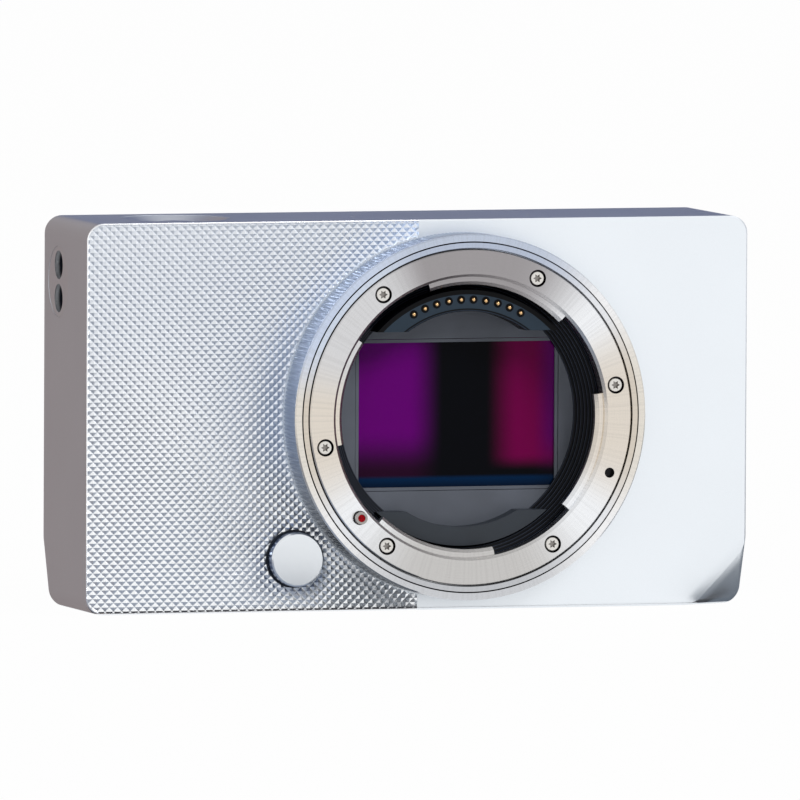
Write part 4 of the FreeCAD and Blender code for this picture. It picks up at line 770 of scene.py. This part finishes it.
def cone_stack(name, inner, axis, fixed_end):
    """Stand four spring cones in the place of a CAD spring. The fixed end, 0 for its low end and 1 for its high, is
    not used.
    """
    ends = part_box(name)
    low, high = ends
    centre = (low + high) / 2
    outer = (high.x - low.x) / 2
    along = "XYZ".index(axis)
    rise = (high[along] - low[along] - spring_gauge) / 4
    front_side = [(outer if step % 2 else inner, low[along] + step * rise) for step in range(5)]
    back_side = [(radius, length + spring_gauge) for radius, length in reversed(front_side)]
    stack = lathe(name + "_cones", front_side + back_side, centre, spring_steel, axis=axis,
                  steps=48, soft=0.3)
    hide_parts(name)
    anchor = centre.copy()
    anchor[along] = ends[fixed_end][along]
    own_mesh(stack)


spring_gauge = 0.00025
cone_stack("shutter_spring", 0.002, "Z", fixed_end=0)
cone_stack("release_spring", 0.0016, "Y", fixed_end=1)


# Studio
# A plain pale floor under soft light from the upper right. Floor and sky are white to the camera and in
# reflections, and cards that only the metal reflects stand where the photograph's surroundings were darker. A dark
# strip under the front edge is a painted shadow that the edge reflects.

def flat_sheet(name, size, centre, facing, material):
    """A flat sheet with its place in its mesh, turned to face a direction."""
    mesh = bmesh.new()
    bmesh.ops.create_grid(mesh, x_segments=1, y_segments=1, size=0.5)
    bmesh.ops.scale(mesh, verts=mesh.verts, vec=(size[0], size[1], 1))
    bmesh.ops.rotate(mesh, verts=mesh.verts, matrix=Vector(facing).to_track_quat("Z", "Y").to_matrix())
    bmesh.ops.translate(mesh, verts=mesh.verts, vec=centre)
    sheet = placed(name, mesh, material)
    return sheet


def seen_white(tree):
    """1 for the camera's rays and those that metal and glass reflect or pass on, and 0 for light on the object."""
    rays = tree.node("ShaderNodeLightPath").socket.node.outputs
    seen = Value(tree, rays["Is Camera Ray"])
    for kind in ("Is Glossy Ray", "Is Transmission Ray"):
        seen = seen.maths("MAXIMUM", Value(tree, rays[kind]))
    return seen


upward = (0, 0, 1)
floor_level = shell_low.z - 0.0002
floor_white = 0.985
pale_floor = Finish("pale_floor", (0.92, 0.92, 0.92, 1), 0.0, 0.9)
floor_mix = pale_floor.node("ShaderNodeMixShader", (), {
    0: seen_white(pale_floor) * floor_white, 1: Value(pale_floor, pale_floor.shader.outputs[0]),
    2: pale_floor.node("ShaderNodeEmission")})
pale_floor.join(pale_floor.data.nodes["Material Output"], {0: floor_mix})
flat_sheet("floor", (40, 40), (0, 0, floor_level), upward, pale_floor.material)

reflected_sky = 0.8
world = bpy.data.worlds.new("studio")
bpy.context.scene.world = world
world.use_nodes = True
sky = NodeTree(world.node_tree)
soft_sky = sky.data.nodes["Background"]
sky.join(soft_sky, {"Strength": 0.45})
camera_ray = sky.node("ShaderNodeLightPath")
white_sky = sky.node("ShaderNodeBackground", (), {
    "Color": (1, 1, 1, 1), "Strength": camera_ray * (1 - reflected_sky) + reflected_sky})
sky_mix = sky.node("ShaderNodeMixShader", (), {
    0: seen_white(sky), 1: Value(sky, soft_sky.outputs[0]), 2: white_sky})
sky.join(sky.data.nodes["World Output"], {0: sky_mix})


def card(name, size, centre, facing, colour):
    """A coloured card that shows only in reflections."""
    material = bpy.data.materials.new(name)
    material.use_nodes = True
    tree = NodeTree(material.node_tree)
    tree.join(tree.data.nodes["Material Output"], {0: tree.node("ShaderNodeEmission", (), {"Color": colour})})
    sheet = flat_sheet(name, size, centre, facing, material)
    sheet.visible_camera = False
    sheet.visible_diffuse = False
    sheet.visible_shadow = False


lying = 0.0003
foot_lying = 0.0004
card("slate_card_behind", (12, 5), (0.6, 2.6, 2.51), (0, -1, 0), tint(10, 40, 100))
card("grey_card_left", (0.7, 0.5), (-0.26, 0.32, 0.24), (0.55, -0.8, 0), tint(144, 133, 132))
card("grey_card_left_floor", (0.5, 0.5), (-0.31, 0.2, lying), upward, tint(144, 133, 132))
card("grey_card_floor", (0.162, 0.068), (-0.099, -0.0445, lying), upward, tint(146, 154, 168))
card("dark_card_floor", (0.016, 0.068), (-0.010, -0.0445, lying), upward, tint(108, 114, 122))
card("dark_card_right", (0.34, 0.362), (0.225, 0.163, lying), upward, tint(98, 105, 114))
# Painted shadow: a dark strip under the front edge, which the edge reflects in place of the floor's contact shadow.
card("painted_shadow_card_foot", (0.13, 0.0016), (0, front + 0.0006, foot_lying), upward, tint(56, 56, 60))


def lamp(name, centre, target, size, power):
    """A soft square lamp aimed at a point."""
    light = bpy.data.lights.new(name, "AREA")
    light.size = size
    light.energy = power
    item = bpy.data.objects.new(name, light)
    item.location = centre
    item.rotation_euler = (Vector(centre) - Vector(target)).to_track_quat("Z", "Y").to_euler()
    bpy.context.scene.collection.objects.link(item)


middle = (0, 0, 0.036)
lamp("key_light", (1.3, -1.7, 1.9), middle, 1.0, 34)
lamp("fill_light", (-1.8, -2.4, 0.9), middle, 1.6, 8)


# Camera
# The photograph was taken with a long lens, from 17 degrees to the left of the front and 4 degrees above it. The
# camera's place, turn and length were fitted to the object's edges.

azimuth = math.radians(-17.086379)
elevation = math.radians(3.759300)
roll = math.radians(0.283830)
aim = Vector((-0.00316755, -0.00903739, 0.03914907))
distance = 4.264906
focal_length = 1031.1256

view_back = Vector((math.sin(azimuth) * math.cos(elevation), -math.cos(azimuth) * math.cos(elevation),
                    math.sin(elevation)))
level = Vector((math.cos(azimuth), math.sin(azimuth), 0))
upright = view_back.cross(level)
camera_right = level * math.cos(roll) + upright * math.sin(roll)
camera_up = upright * math.cos(roll) - level * math.sin(roll)
camera_data = bpy.data.cameras.new("photo_camera")
camera_data.lens = focal_length
camera_data.sensor_width = 36
camera_data.clip_end = 200
camera = bpy.data.objects.new("photo_camera", camera_data)
turn = Matrix((camera_right, camera_up, view_back)).transposed().to_4x4()
camera.matrix_world = Matrix.Translation(aim + view_back * distance) @ turn
bpy.context.scene.collection.objects.link(camera)
bpy.context.scene.camera = camera
bpy.context.scene.view_settings.view_transform = "Standard"
